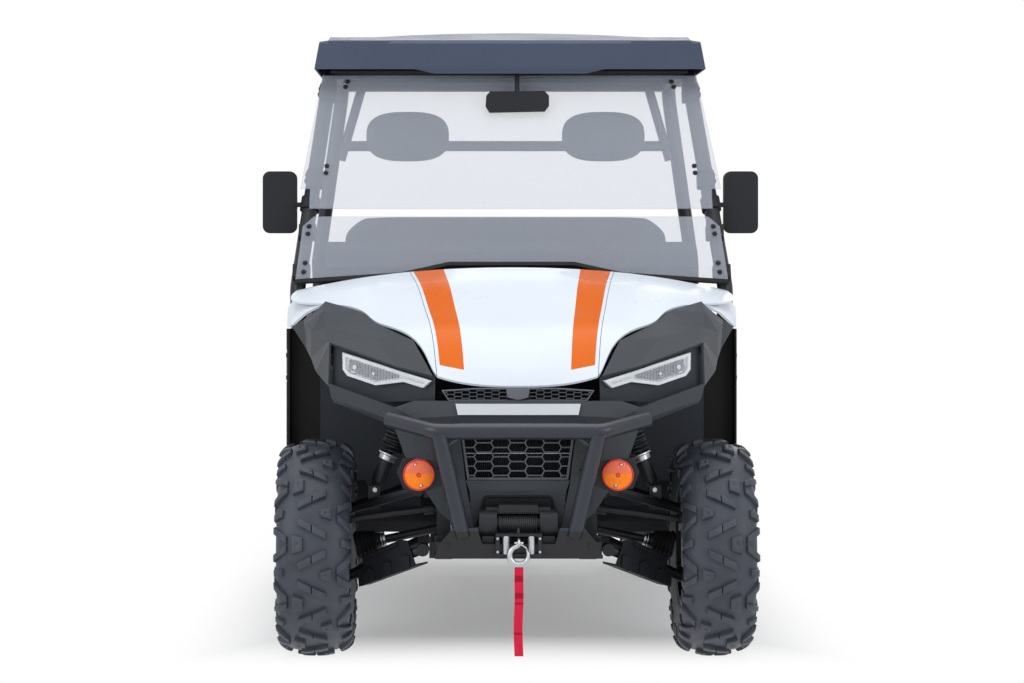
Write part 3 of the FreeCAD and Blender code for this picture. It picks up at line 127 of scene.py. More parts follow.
def grid_faces(rows, cols, wrap_r=False, wrap_c=False, flip=False):
    """Quads of a rows x cols grid of vertices, wrapped round where asked."""
    out = []
    for i in range(rows if wrap_r else rows - 1):
        for j in range(cols if wrap_c else cols - 1):
            a = i * cols + j
            b = i * cols + (j + 1) % cols
            c = ((i + 1) % rows) * cols + (j + 1) % cols
            d = ((i + 1) % rows) * cols + j
            out.append((a, d, c, b) if flip else (a, b, c, d))
    return out


def skin_faces(rows, cols, flip=False):
    """Faces of a closed tube of rings: quads from each ring to the next and a cap at each end."""
    step = 1 if flip else -1
    caps = [tuple(range(cols))[::step], tuple(range((rows - 1) * cols, rows * cols))[::-step]]
    return grid_faces(rows, cols, wrap_c=True, flip=flip) + caps


def slab_faces(rows, cols):
    """Faces of a closed sheet between two like grids: its face, its back and the band round its edge."""
    n = rows * cols
    rim = ([(i, 0) for i in range(rows)] + [(rows - 1, j) for j in range(1, cols)]
           + [(i, cols - 1) for i in range(rows - 2, -1, -1)] + [(0, j) for j in range(cols - 2, 0, -1)])
    ids = [i * cols + j for i, j in rim]
    faces = grid_faces(rows, cols, flip=True) + [tuple(i + n for i in f) for f in grid_faces(rows, cols)]
    return faces + [(b, a, a + n, b + n) for a, b in zip(ids, ids[1:] + ids[:1])]


def frame_of(direction):
    """The direction as a unit vector d, and two more square to it: s is d x up, and t is s x d."""
    d = np.asarray(direction, float)
    d = d / np.linalg.norm(d)
    u = np.array(UP, float)
    if abs(np.dot(d, u)) > 0.95:
        u = np.array([1.0, 0, 0])
    s = np.cross(d, u)
    s /= np.linalg.norm(s)
    return d, s, np.cross(s, d)


def turned(profile, origin, axis, sides=48):
    """Surface of revolution: profile is (distance along the axis, radius), closed at both ends
    where its radius is zero, or round on itself where the last point repeats the first."""
    d, s, t = frame_of(axis)
    profile = np.asarray(profile, float)
    a = np.arange(sides) * tau / sides
    spokes = np.cos(a)[:, None] * s + np.sin(a)[:, None] * t
    v = np.asarray(origin) + profile[:, 0, None, None] * d + profile[:, 1, None, None] * spokes[None]
    n = len(profile)
    if np.allclose(profile[0], profile[-1]):
        return v[:-1].reshape(-1, 3), grid_faces(n - 1, sides, wrap_r=True, wrap_c=True, flip=True)
    return v.reshape(-1, 3), skin_faces(n, sides, flip=True)


def swept(path, radius, sides=12, closed=False):
    """Round tube along a path of points; radius is a number or one for each point."""
    p = np.asarray(path, float)
    n = len(p)
    r = np.broadcast_to(np.asarray(radius, float), n)
    tan = np.roll(p, -1, 0) - np.roll(p, 1, 0) if closed else np.gradient(p, axis=0)
    tan /= np.linalg.norm(tan, axis=1)[:, None]
    s = frame_of(tan[0])[1]
    out = []
    a = np.arange(sides) * tau / sides
    for i in range(n):
        s = s - tan[i] * np.dot(s, tan[i])
        s /= np.linalg.norm(s)
        t = np.cross(tan[i], s)
        out.append(p[i] + r[i] * (np.cos(a)[:, None] * s + np.sin(a)[:, None] * t))
    faces = grid_faces(n, sides, wrap_r=True, wrap_c=True) if closed else skin_faces(n, sides)
    return np.concatenate(out), faces


def inset(poly, b):
    """Each corner of a counter-clockwise polygon moved inwards by b from both its edges."""
    p = np.asarray(poly, float)
    e0 = p - np.roll(p, 1, 0)
    e1 = np.roll(p, -1, 0) - p
    n0 = np.stack([-e0[:, 1], e0[:, 0]], 1) / np.linalg.norm(e0, axis=1)[:, None]
    n1 = np.stack([-e1[:, 1], e1[:, 0]], 1) / np.linalg.norm(e1, axis=1)[:, None]
    k = 1 + np.sum(n0 * n1, 1)
    return p + b * (n0 + n1) / np.maximum(k, 0.3)[:, None]


def plate(poly, place, depth, bevel=0.002):
    """Prism on a counter-clockwise polygon with bevelled edges; place maps (u, v, w) to the world."""
    p = np.asarray(poly, float)
    small = inset(p, bevel)
    rings = [(small, 0), (p, bevel), (p, depth - bevel), (small, depth)]
    verts = np.concatenate([np.column_stack([q, np.full(len(q), w)]) for q, w in rings])
    return place(verts), skin_faces(len(rings), len(p))


def at(origin, u, v):
    """Placement of a flat drawing: u and v are its directions, w follows u x v."""
    origin = np.asarray(origin, float)
    u = np.asarray(u, float) / np.linalg.norm(u)
    v = np.asarray(v, float)
    v = v - u * np.dot(u, v)
    v /= np.linalg.norm(v)
    w = np.cross(u, v)
    return lambda q: origin + q[:, :1] * u + q[:, 1:2] * v + q[:, 2:3] * w


def circle(r, n):
    """Corners of a regular polygon, counter-clockwise."""
    a = np.arange(n) * tau / n
    return np.column_stack([r * np.cos(a), r * np.sin(a)])


def smoothstep(x, lo, hi):
    """Rises from 0 at lo to 1 at hi, level at both ends."""
    t = np.clip((x - lo) / (hi - lo), 0, 1)
    return t * t * (3 - 2 * t)


# Materials

def feed(nt, node, inputs):
    """Sets a node's inputs: each is a value, or a socket that is linked to it."""
    for key, value in inputs.items():
        if isinstance(value, bpy.types.NodeSocket):
            nt.links.new(value, node.inputs[key])
        else:
            node.inputs[key].default_value = value


def add_node(nt, kind, inputs=None, **settings):
    """A new shader node with its settings and its inputs."""
    node = nt.nodes.new("ShaderNode" + kind)
    for key, value in settings.items():
        setattr(node, key, value)
    feed(nt, node, inputs or {})
    return node


def bump(nt, height, strength, distance):
    """Bump on a material's shader from a height."""
    node = add_node(nt, "Bump", {"Strength": strength, "Distance": distance, "Height": height})
    feed(nt, nt.nodes["Principled BSDF"], {"Normal": node.outputs["Normal"]})


def material(name, base, rough=0.5, metal=0.0, grain=0.0, grain_scale=600.0, mottle=0.08, mottle_scale=6.0,
             coat=0.0, alpha=1.0, rough_var=0.08, dust=0.0, spec=0.5):
    """Principled surface whose colour, roughness and bump vary with noise on object coordinates."""
    m = bpy.data.materials.new(name)
    m.use_nodes = True
    nt = m.node_tree
    shader = nt.nodes["Principled BSDF"]
    feed(nt, shader, {"Metallic": metal, "Coat Weight": coat, "Coat Roughness": 0.08, "Specular IOR Level": spec,
                      "Alpha": alpha})
    co = add_node(nt, "TexCoord").outputs["Object"]
    noise = add_node(nt, "TexNoise", {"Scale": mottle_scale, "Detail": 6.0, "Vector": co}).outputs["Fac"]
    ramp = add_node(nt, "MapRange", {"From Min": 0.3, "From Max": 0.7, "Value": noise})
    lo = [c * (1 - mottle) for c in base[:3]] + [1]
    hi = [min(1, c * (1 + mottle) + dust) for c in base[:3]] + [1]
    mix = add_node(nt, "Mix", {0: ramp.outputs["Result"], 6: lo, 7: hi}, data_type="RGBA")
    spread = add_node(nt, "MapRange", {"To Min": max(0.02, rough - rough_var), "To Max": min(1, rough + rough_var),
                                       "Value": noise})
    feed(nt, shader, {"Base Color": mix.outputs[2], "Roughness": spread.outputs["Result"]})
    if grain > 0:
        fine = add_node(nt, "TexNoise", {"Scale": grain_scale, "Detail": 3.0, "Vector": co})
        bump(nt, fine.outputs["Fac"], grain, 0.0006)
    return m


def lin(r, g, b):
    """Linear colour of an 8 bit screen colour."""
    c = np.array([r, g, b]) / 255.0
    return tuple(np.where(c <= 0.04045, c / 12.92, ((c + 0.055) / 1.055) ** 2.4))


mats = {
    "paint_black": material("satin black coat", lin(27, 29, 34), 0.42, grain=0.25, grain_scale=900, mottle=0.1,
                            spec=0.35),
    "cage_black": material("cage coat", lin(27, 29, 35), 0.38, grain=0.2, grain_scale=1100, spec=0.35),
    "dark_plastic": material("dark moulded plastic", lin(52, 56, 62), 0.55, grain=0.5, grain_scale=1400, mottle=0.05,
                             spec=0.25),
    "black_plastic": material("black moulded plastic", lin(29, 31, 36), 0.6, grain=0.5, grain_scale=1200, mottle=0.1,
                              spec=0.25),
    "roof": material("roof moulding", lin(58, 67, 86), 0.5, grain=0.45, grain_scale=1000, mottle=0.05, spec=0.25),
    "silver": material("satin silver", lin(196, 200, 206), 0.35, metal=0.6, grain=0.1, mottle=0.03),
    "steel": material("zinc plated steel", lin(185, 188, 192), 0.32, metal=0.9, mottle=0.12, mottle_scale=30),
    "alloy": material("cast alloy", lin(84, 87, 92), 0.5, metal=0.7, grain=0.5, grain_scale=500, mottle=0.12),
    "rim": material("rim black", lin(28, 29, 32), 0.35, metal=0.3, grain=0.15),
    "rubber": material("rubber", lin(18, 19, 21), 0.7, grain=0.5, grain_scale=700, spec=0.3),
    "tyre": material("tyre rubber", lin(62, 66, 75), 0.46, grain=0.7, grain_scale=420, mottle=0.16, mottle_scale=14,
                     dust=0.003, spec=0.3),
    "vinyl": material("seat vinyl", lin(34, 37, 42), 0.55, grain=0.6, grain_scale=520, mottle=0.06, spec=0.3),
    "red_lens": material("red lens", lin(170, 18, 22), 0.15, coat=0.7, mottle=0.2, mottle_scale=80),
    "red_rim": material("red moulded rim", lin(190, 38, 12), 0.3, coat=0.3, mottle=0.1, mottle_scale=60),
    "mirror": material("mirror glass", (0.8, 0.82, 0.84), 0.04, metal=1.0, mottle=0.01),
    "reflector": material("lamp reflector", lin(122, 126, 134), 0.22, metal=0.85, mottle=0.05, mottle_scale=40),
    "lamp_tube": material("lamp light guide", lin(222, 226, 230), 0.25, coat=0.5, mottle=0.03, mottle_scale=40),
    "glass": material("lamp cover", (0.80, 0.83, 0.87), 0.05, coat=0.5, alpha=0.12, mottle=0.02),
    "grille": material("grille plastic", lin(96, 99, 106), 0.5, mottle=0.06, spec=0.4),
    "dark_rope": material("wound rope", lin(46, 48, 52), 0.5, metal=0.3, mottle=0.15, mottle_scale=200),
    "pane": material("polycarbonate", (0.47, 0.505, 0.58), 0.25, alpha=0.29, mottle=0.015, mottle_scale=2, spec=0.12,
                     rough_var=0.04),
}


def graph(m):
    """A helper that adds maths nodes to a material, and the object coordinates."""
    nt = m.node_tree

    def maths(op, a, b=0.0):
        """Result of a maths node; a and b are numbers or sockets."""
        return add_node(nt, "Math", {0: a, 1: b}, operation=op).outputs[0]

    xyz = add_node(nt, "SeparateXYZ", {0: add_node(nt, "TexCoord").outputs["Object"]})
    return maths, xyz.outputs


def tint(m, mask, colour):
    """Lays a second colour over the material's own where the mask is one."""
    nt = m.node_tree
    shader = nt.nodes["Principled BSDF"]
    own = shader.inputs["Base Color"].links[0].from_socket
    mix = add_node(nt, "Mix", {0: mask, 6: own, 7: tuple(colour) + (1,)}, data_type="RGBA")
    feed(nt, shader, {"Base Color": mix.outputs[2]})


def hood_paint():
    """White gloss with two orange bands that narrow to the front, each with a fine dark line outside it."""
    m = material("white panel", lin(214, 221, 229), 0.28, coat=0.06, spec=0.1, mottle=0.012, mottle_scale=3,
                 rough_var=0.03)
    maths, (x, y, z) = graph(m)
    ax = maths("ABSOLUTE", x)
    t = maths("SUBTRACT", -0.620, y)
    outer = maths("SUBTRACT", 0.3165, maths("MULTIPLY", t, 0.1254))
    inner = maths("SUBTRACT", 0.2204, maths("MULTIPLY", t, 0.0877))
    low = maths("ADD", 0.862, maths("MULTIPLY", ax, 0.178))
    band = maths("MULTIPLY", maths("LESS_THAN", ax, outer), maths("GREATER_THAN", ax, inner))
    band = maths("MULTIPLY", band, maths("GREATER_THAN", z, low))
    line = maths("COMPARE", ax, maths("ADD", outer, 0.011))
    line.node.inputs[2].default_value = 0.0009
    line = maths("MULTIPLY", line, maths("GREATER_THAN", z, 0.872))
    tint(m, band, (0.66, 0.120, 0.0))
    tint(m, line, lin(60, 66, 76))
    return m


def amber_lens():
    """Amber lens, paler above its middle: a painted highlight."""
    m = material("amber lens", lin(255, 128, 8), 0.25, coat=0.15, spec=0.2, mottle=0.1, mottle_scale=90)
    maths, (_, _, z) = graph(m)
    # Paler colour above z = 0.596 is a painted highlight.
    tint(m, maths("GREATER_THAN", z, 0.596), lin(232, 112, 78))
    return m


def webbing():
    """Red woven strap with ribs across it and darker bands of painted shade where it folds."""
    m = material("webbing", lin(205, 28, 62), 0.75, grain=0.8, grain_scale=900, mottle=0.1, mottle_scale=60, spec=0.2)
    maths, (_, _, z) = graph(m)
    band = 0
    for c, h in ((0.306, 0.009), (0.258, 0.008), (0.236, 0.003), (0.150, 0.003)):
        one = maths("LESS_THAN", maths("ABSOLUTE", maths("SUBTRACT", z, c)), h)
        band = maths("MAXIMUM", band, one)
    # The darker bands are painted shade at the strap's folds.
    tint(m, band, lin(158, 10, 36))
    return m


def fins():
    """Radiator core: fine upright fins as bands in colour and bump, the dark bands painted shade between the fins."""
    m = material("radiator core", lin(46, 49, 54), 0.5, metal=0.5, mottle=0.1)
    maths, (x, _, _) = graph(m)
    wave = maths("SINE", maths("MULTIPLY", x, tau / 0.0055))
    # Dark bands are painted shade in the gaps between the fins.
    tint(m, maths("GREATER_THAN", wave, 0.15), lin(16, 17, 20))
    bump(m.node_tree, wave, 0.8, 0.002)
    return m


def liner_plastic():
    """Grey moulding near the frame that turns black beyond the cab's side: painted shade inside the wheel arches."""
    m = material("liner plastic", lin(50, 54, 61), 0.6, grain=0.4, grain_scale=1200, mottle=0.06, spec=0.25)
    maths, (x, _, _) = graph(m)
    # Black beyond |x| = 0.612 is painted shade inside the wheel arches.
    tint(m, maths("GREATER_THAN", maths("ABSOLUTE", x), 0.612), lin(12, 12, 14))
    return m


def mask_plastic():
    """Dark grey moulding, nearly black inside the bead round the winch: painted shade in the winch's recess."""
    m = material("mask plastic", lin(52, 56, 62), 0.55, grain=0.5, grain_scale=1400, mottle=0.05, spec=0.35)
    maths, (x, _, z) = graph(m)
    # Nearly black inside the bead: painted shade in the recess round the winch.
    half = maths("ADD", 0.096, maths("MULTIPLY", maths("SUBTRACT", 0.526, z), 0.29))
    mask = maths("MULTIPLY", maths("LESS_THAN", maths("ABSOLUTE", x), half), maths("LESS_THAN", z, 0.526))
    tint(m, mask, lin(20, 21, 24))
    return m


def bumper_coat():
    """Satin black coat with a faint gloss, darker low down, below 0.437 m."""
    m = material("bumper coat", lin(38, 42, 52), 0.36, coat=0.08, grain=0.2, grain_scale=900, mottle=0.08, spec=0.4)
    maths, (_, _, z) = graph(m)
    # Colour darkened below 0.437 m.
    tint(m, maths("LESS_THAN", z, 0.437), lin(15, 16, 19))
    return m


mats.update(mask=mask_plastic(), bar=bumper_coat(), liner=liner_plastic(), white=hood_paint(), amber=amber_lens(),
            red_web=webbing(), fins=fins())


def dress(node, mat, bevel):
    """Gives a CAD node its material and softens its edges by a bevel of that width."""
    obj = frame["nodes"][node]
    obj.data.materials.clear()
    obj.data.materials.append(mats[mat])
    if bevel:
        mod = obj.modifiers.new("edges", "BEVEL")
        mod.width = bevel
        mod.segments = 2
        mod.limit_method = "ANGLE"
        mod.angle_limit = math.radians(32.0)
        mod.harden_normals = False


LOOKS = {
    "paint_black": "chassis_frame front_frame rear_frame suspension_arms shock_absorbers drive_axles hitch_receiver "
                   "winch lamp_brackets steering_column tie_rods door_hinges",
    "black_plastic": "arm_guards grille floor_tub screen_clamps side_mirrors interior_mirror dashboard "
                     "steering_wheel cargo_bed tailgate rear_fenders",
    "dark_plastic": "lamp_bezels front_fenders door_left door_right",
    "alloy": "engine_block steering_rack knuckle_front_left knuckle_front_right",
    "tyre": "tyre_front_left tyre_front_right tyre_rear_left tyre_rear_right",
    "rim": "rim_front_left rim_front_right rim_rear_left rim_rear_right",
    "vinyl": "seat_cushion seat_backrest headrests",
    "steel": "muffler winch_hook", "white": "hood", "mask": "front_fascia", "silver": "nose_plate",
    "glass": "headlamps", "liner": "inner_fenders", "fins": "radiator", "bar": "bull_bar", "red_web": "hook_strap",
    "amber": "marker_lamps", "cage_black": "roll_cage", "roof": "roof", "pane": "windscreen",
    "rubber": "screen_seal", "red_lens": "tail_lamps",
}
NO_BEVEL = ("hood", "windscreen", "hook_strap")
for look, parts in LOOKS.items():
    for part in parts.split():
        dress(part, look, 0.0 if part in NO_BEVEL else 0.0015)


# Tyres

class TyreForm:
    """Cross section of a tyre: arc length s from the crown to the bead gives width, radius and normal.
    The crown is a quarter oval, its sine and cosine raised to powers below one; the wall bends in below it."""

    def __init__(self, width):
        lug, widest_r, bead_r, wall_in = 0.015, 0.252, 0.179, 0.020
        w = width / 2 - 0.008
        crown_r = WHEEL_R - lug
        t = np.linspace(0, math.pi / 2, 60)
        k = np.linspace(0, 1, 40)[1:]
        self.x = np.concatenate([w * np.sin(t) ** 0.85, w - wall_in * k ** 1.8])
        self.r = np.concatenate([widest_r + (crown_r - widest_r) * np.cos(t) ** 0.62,
                                 widest_r - (widest_r - bead_r) * k])
        step = np.hypot(np.diff(self.x), np.diff(self.r))
        self.s = np.concatenate([[0], np.cumsum(step)])
        tx, tr = np.gradient(self.x, self.s), np.gradient(self.r, self.s)
        n = np.hypot(tx, tr)
        self.nx, self.nr = -tr / n, tx / n
        self.end = self.s[-1]
        self.shoulder = float(self.s[len(t) - 1])

    def point(self, a, s, h):
        """Points about the wheel's axis for angle a, signed arc length s and height h above the carcass."""
        side = np.sign(s) + (s == 0)
        x, r, nx, nr = (np.interp(np.abs(s), self.s, row) for row in (self.x, self.r, self.nx, self.nr))
        r = r + h * nr
        return np.stack([(x + h * nx) * side, r * np.cos(a), r * np.sin(a)], -1)


def lug(form, pile, corners, height, nu=4, nv=4, pit=0.0):
    """Raised block over four (angle, arc length) corners: the top follows the carcass at the given
    height, its edge is rounded over, and the sides run down into the carcass."""
    e, draft = 0.13, 0.10

    def steps(n):
        """Places along one way of the block, doubled at its foot and its edge."""
        return np.concatenate([[0, 0], [e], np.linspace(e, 1 - e, n)[1:-1], [1 - e], [1, 1]])

    U, V = np.meshgrid(steps(nu), steps(nv), indexing="ij")
    base = np.zeros(U.shape, bool)
    base[[0, -1], :] = base[:, [0, -1]] = True
    k = smoothstep(np.minimum(np.minimum(U, 1 - U), np.minimum(V, 1 - V)), -0.02, e)
    h = height * (0.86 + 0.14 * k)
    if pit:
        h = h - pit * np.exp(-((U - 0.5) ** 2 + (V - 0.55) ** 2) / 0.018)
    h = np.where(base, -0.003, h)
    u = np.where(base, 0.5 + (U - 0.5) * (1 + draft), U)[..., None]
    v = np.where(base, 0.5 + (V - 0.5) * (1 + draft), V)[..., None]
    c = np.asarray(corners, float)
    A = (1 - u) * (1 - v) * c[0] + u * (1 - v) * c[1] + u * v * c[2] + (1 - u) * v * c[3]
    top = form.point(A[..., 0], A[..., 1], h)
    low = form.point(A[..., 0], A[..., 1], np.full_like(h, -0.004))
    pile.add(np.concatenate([top.reshape(-1, 3), low.reshape(-1, 3)]), slab_faces(*U.shape))


def tread(form, half_crown):
    """Zigzag of split bars down the middle, A shaped blocks where they spread, and forked chevrons beside them."""
    pile = Pile()
    pitches = 11
    step = tau / pitches
    k = half_crown / 0.085
    s0 = 0.094 * k

    def block(a0, s_mid, da, ds, skew, height=0.0138, taper=0.0, **kw):
        """Quad about angle a0 and arc length s_mid; skew is how far its outer end runs ahead, in metres."""
        far = da * (1 - taper)
        lug(form, pile, [(a0 + (-da - skew) / WHEEL_R, s_mid - ds), (a0 + (da - skew) / WHEEL_R, s_mid - ds),
                         (a0 + (far + skew) / WHEEL_R, s_mid + ds), (a0 + (-far + skew) / WHEEL_R, s_mid + ds)],
            height, **kw)

    for p in range(pitches):
        for half, sgn in ((0, -1), (1, 1)):
            a = (p + half / 2) * step
            for part in (-1, 1):
                block(a + part * sgn * 0.0108 / WHEEL_R, part * 0.0206 * k, 0.0112, 0.0190 * k, sgn * 0.0098)
            block(a + step * 0.25, -sgn * 0.041 * k, 0.019, 0.0145 * k, 0.0, taper=sgn * 0.5, pit=0.005, nu=7, nv=7)
        for side in (-1, 1):
            a = (p + (0.25 if side > 0 else 0.75)) * step
            for arm in (-1, 1):
                block(a + arm * 0.030 / WHEEL_R, side * s0, 0.0105, 0.021, side * arm * 0.017, 0.0125, nu=5, nv=5)
                block(a + arm * 0.054 / WHEEL_R, side * (s0 + 0.045), 0.0125, 0.016, side * arm * 0.004, 0.0055)
            block(a + 0.5 * step, side * (s0 + 0.006), 0.0115, 0.015, 0.004 * side, 0.011)
            block(a + 0.5 * step, side * (s0 + 0.044), 0.009, 0.013, 0.0, 0.0045)
    return pile


def carcass(form):
    """Closed skin from bead to bead with ribs on the sidewalls and a lining inside."""
    n, rows = 144, 72
    s = np.concatenate([-form.s[::-1], form.s[1:]])
    s = s[np.unique(np.round(np.linspace(0, len(s) - 1, rows)).astype(int))]
    S, A = np.meshgrid(s, np.arange(n) * tau / n, indexing="ij")
    q = np.abs(S)
    rib = 0.0016 * (np.exp(-((q - form.shoulder - 0.018) / 0.0022) ** 2)
                    + np.exp(-((q - form.end + 0.016) / 0.003) ** 2))
    outer = form.point(A, S, rib)
    inner = form.point(A[::-1], S[::-1] * 0.985, np.full_like(S, -0.009))
    verts = np.concatenate([outer.reshape(-1, 3), inner.reshape(-1, 3)])
    return verts, grid_faces(2 * len(s), n, wrap_r=True, wrap_c=True)


def tyres():
    """Carcass and tread, made once for each axle and mirrored for the right side."""
    for end, width, track, y in WHEELS:
        form = TyreForm(width)
        treads = tread(form, 0.085 if end == "front" else 0.100)
        skin = carcass(form)
        for side, sgn in SIDES:
            pile = Pile()
            pile.add(*skin)
            pile.join(treads)
            name = "tyre_%s_%s" % (end, side)
            piece(pile.at_wheel(sgn, track, y), name + "_tread", "tyre", "wheel_%s_%s" % (end, side),
                  replaces=(name,))


def piece(pile, name, mat, body, smooth=35, replaces=()):
    """Makes a pile into a named piece with its material and body, hiding the CAD nodes it replaces."""
    obj = pile.make(name, smooth)
    obj.data.materials.append(mats[mat])
    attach(obj, body)
    if replaces:
        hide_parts(*replaces)
    return obj


def doubled(pile):
    """A pile and its mirror image."""
    both = Pile()
    both.join(pile)
    both.join(pile.flipped())
    return both


def ring_profile(d0, d1, r0, r1, bevel=0.001):
    """Closed profile of a sleeve from d0 to d1 with inner radius r0 and outer radius r1, its corners softened."""
    b = bevel
    return [(d0, r0), (d0, r1 - b), (d0 + b, r1), (d1 - b, r1), (d1, r1 - b), (d1, r0), (d0, r0)]


def pin_profile(d0, d1, r, bevel=0.001):
    """Profile of a solid round from d0 to d1, its far corner softened."""
    return [(d0, 0), (d0, r), (d1 - bevel, r), (d1, r - bevel), (d1, 0)]


def bolt(pile, where, axis, r=0.009, h=0.006, washer=True):
    """Hexagon head on a washer."""
    where = np.asarray(where, float)
    _, s, t = frame_of(axis)
    if washer:
        pile.add(*turned(pin_profile(-0.001, 0.0015, r * 1.35, 0.0005), where, axis, 24))
    pile.add(*plate(circle(r, 6), at(where, t, s), h, 0.001))


# Suspension

SHOCKS = (((0.425, -1.000, 0.508), (0.338, -1.000, 0.728)), ((0.404, 1.000, 0.492), (0.338, 1.000, 0.672)))


def shocks():
    """Coil over dampers: each spring is a tube along a helix whose end turns lie closer together."""
    black, metal = Pile(), Pile()
    turns, coil_r, wire_r, eye_half = 6.0, 0.0305, 0.0052, 0.0205
    for a, b in SHOCKS:
        a, b = np.array(a), np.array(b)
        n = np.linalg.norm(b - a)
        d, s, t = frame_of((b - a) / n)
        black.add(*turned([(0.012, 0), (0.012, 0.015), (0.024, 0.020), (0.030, 0.0215), (0.42 * n, 0.0215),
                           (0.42 * n, 0.016), (0.42 * n + 0.01, 0.0115), (n - 0.03, 0.0115), (n - 0.03, 0)], a, d, 32))
        metal.add(*turned(ring_profile(0.40 * n, 0.47 * n, 0.018, 0.0265, 0.0015), a, d, 40))
        metal.add(*turned(ring_profile(0.47 * n, 0.50 * n, 0.018, 0.0330, 0.0015), a, d, 40))
        black.add(*turned([(n - 0.040, 0), (n - 0.040, 0.035), (n - 0.034, 0.036), (n - 0.028, 0.033),
                           (n - 0.014, 0.018), (n - 0.010, 0.0)], a, d, 40))
        for e in (a, b):
            black.add(*turned(ring_profile(-0.018, 0.018, 0.006, 0.0158), e, FORWARD, 32))
            metal.add(*turned(ring_profile(-eye_half, eye_half, 0.004, 0.0085), e, FORWARD, 24))
            bolt(metal, e + np.array([0, -eye_half, 0]), FORWARD, 0.0085, 0.006)
        w = np.linspace(0, 1, int(turns * 22))
        lift = 0.5 * n + 0.004 + (n - 0.046 - 0.5 * n - 0.004) * (w + 0.045 * np.sin(tau * w))
        ang = tau * turns * w
        path = a + lift[:, None] * d + coil_r * (np.cos(ang)[:, None] * s + np.sin(ang)[:, None] * t)
        black.add(*swept(path, wire_r, 8))
    piece(doubled(black), "shock_springs", "paint_black", BODY, 40, ("shock_absorbers",))
    piece(doubled(metal), "shock_collars", "steel", BODY, 40)


def boots():
    """Bellows over the half shafts' ends: a cone whose radius waves along its length, with steel bands."""
    rubber, metal = Pile(), Pile()
    for (_, _, _, y), out_x in zip(WHEELS, (0.486, 0.490)):
        a, b = np.array([0.118, y, 0.410]), np.array([out_x, y, 0.334])
        n = np.linalg.norm(b - a)
        d = (b - a) / n
        for d0, r0, d1, r1 in ((0.006, 0.0405, 0.070, 0.0300), (n - 0.066, 0.0300, n - 0.004, 0.0405)):
            k = np.linspace(0, 1, 41)
            wave = 0.0022 * (1 - np.cos(tau * 5 * k))
            prof = [(d0, 0)] + list(zip(d0 + (d1 - d0) * k, r0 + (r1 - r0) * k + wave)) + [(d1, 0)]
            rubber.add(*turned(prof, a, d, 40))
        for d0, r in ((0.074, 0.0275), (0.093, 0.0215), (n - 0.084, 0.0215), (n - 0.094, 0.0205)):
            metal.add(*turned(ring_profile(d0, d0 + 0.007, 0.012, r, 0.0008), a, d, 32))
    piece(doubled(rubber), "axle_boots", "rubber", BODY, 50)
    piece(doubled(metal), "axle_bands", "steel", BODY, 40)


# Lamps

def marker_lamps():
    """Round lamps: a domed lens with prisms in rays, a red rim and boss, and two screws."""
    lens, rim, screws = Pile(), Pile(), Pile()
    c = np.array([0.285, -1.452, 0.593])
    n, edge = 96, 0.0415
    radii = np.concatenate([np.linspace(0.004, 0.0405, 16), [edge]])
    R, T = np.meshgrid(radii, np.arange(n) * tau / n, indexing="ij")
    rise = 0.0078 * (1 - (R / edge) ** 2.6)
    rise = rise + 0.0005 * np.cos(24 * T) * smoothstep(R, 0.012, 0.02) * (1 - smoothstep(R, 0.036, 0.040))
    front = np.stack([c[0] + R * np.cos(T), c[1] - rise, c[2] + R * np.sin(T)], -1)
    back = front[-1] * (1, 0, 1) + (0, c[1] + 0.004, 0)
    lens.add(np.concatenate([front.reshape(-1, 3), back]), skin_faces(len(radii) + 1, n, flip=True))
    rim.add(*turned([(-0.0255, 0.030), (-0.0255, 0.0445), (-0.004, 0.0458), (0.001, 0.0452), (0.0026, 0.0432),
                     (0.0012, 0.0412), (-0.004, 0.040), (-0.0255, 0.030)], c, FORWARD, 72))
    rim.add(*turned([(0.004, 0), (0.004, 0.0075), (0.0085, 0.0068), (0.0085, 0.0036), (0.0072, 0.0)], c, FORWARD, 32))
    for a in np.radians((72, 258)):
        q = c + 0.031 * np.array([math.cos(a), 0, math.sin(a)])
        rim.add(*turned(ring_profile(0.001, 0.0052, 0.003, 0.0062), q, FORWARD, 24))
        screws.add(*turned([(0.001, 0), (0.001, 0.0042), (0.0048, 0.0040), (0.0062, 0.0024), (0.0066, 0)], q,
                           FORWARD, 24))
    piece(doubled(lens), "marker_lenses", "amber", BODY, 40, ("marker_lamps",))
    piece(doubled(rim), "marker_rims", "red_rim", BODY, 40)
    piece(doubled(screws), "marker_screws", "steel", BODY, 40)


LAMP_EDGE = np.array([(0.252, 0.857), (0.276, 0.836), (0.333, 0.852), (0.416, 0.840), (0.500, 0.866), (0.514, 0.884),
                      (0.515, 0.935), (0.416, 0.906), (0.333, 0.881)])


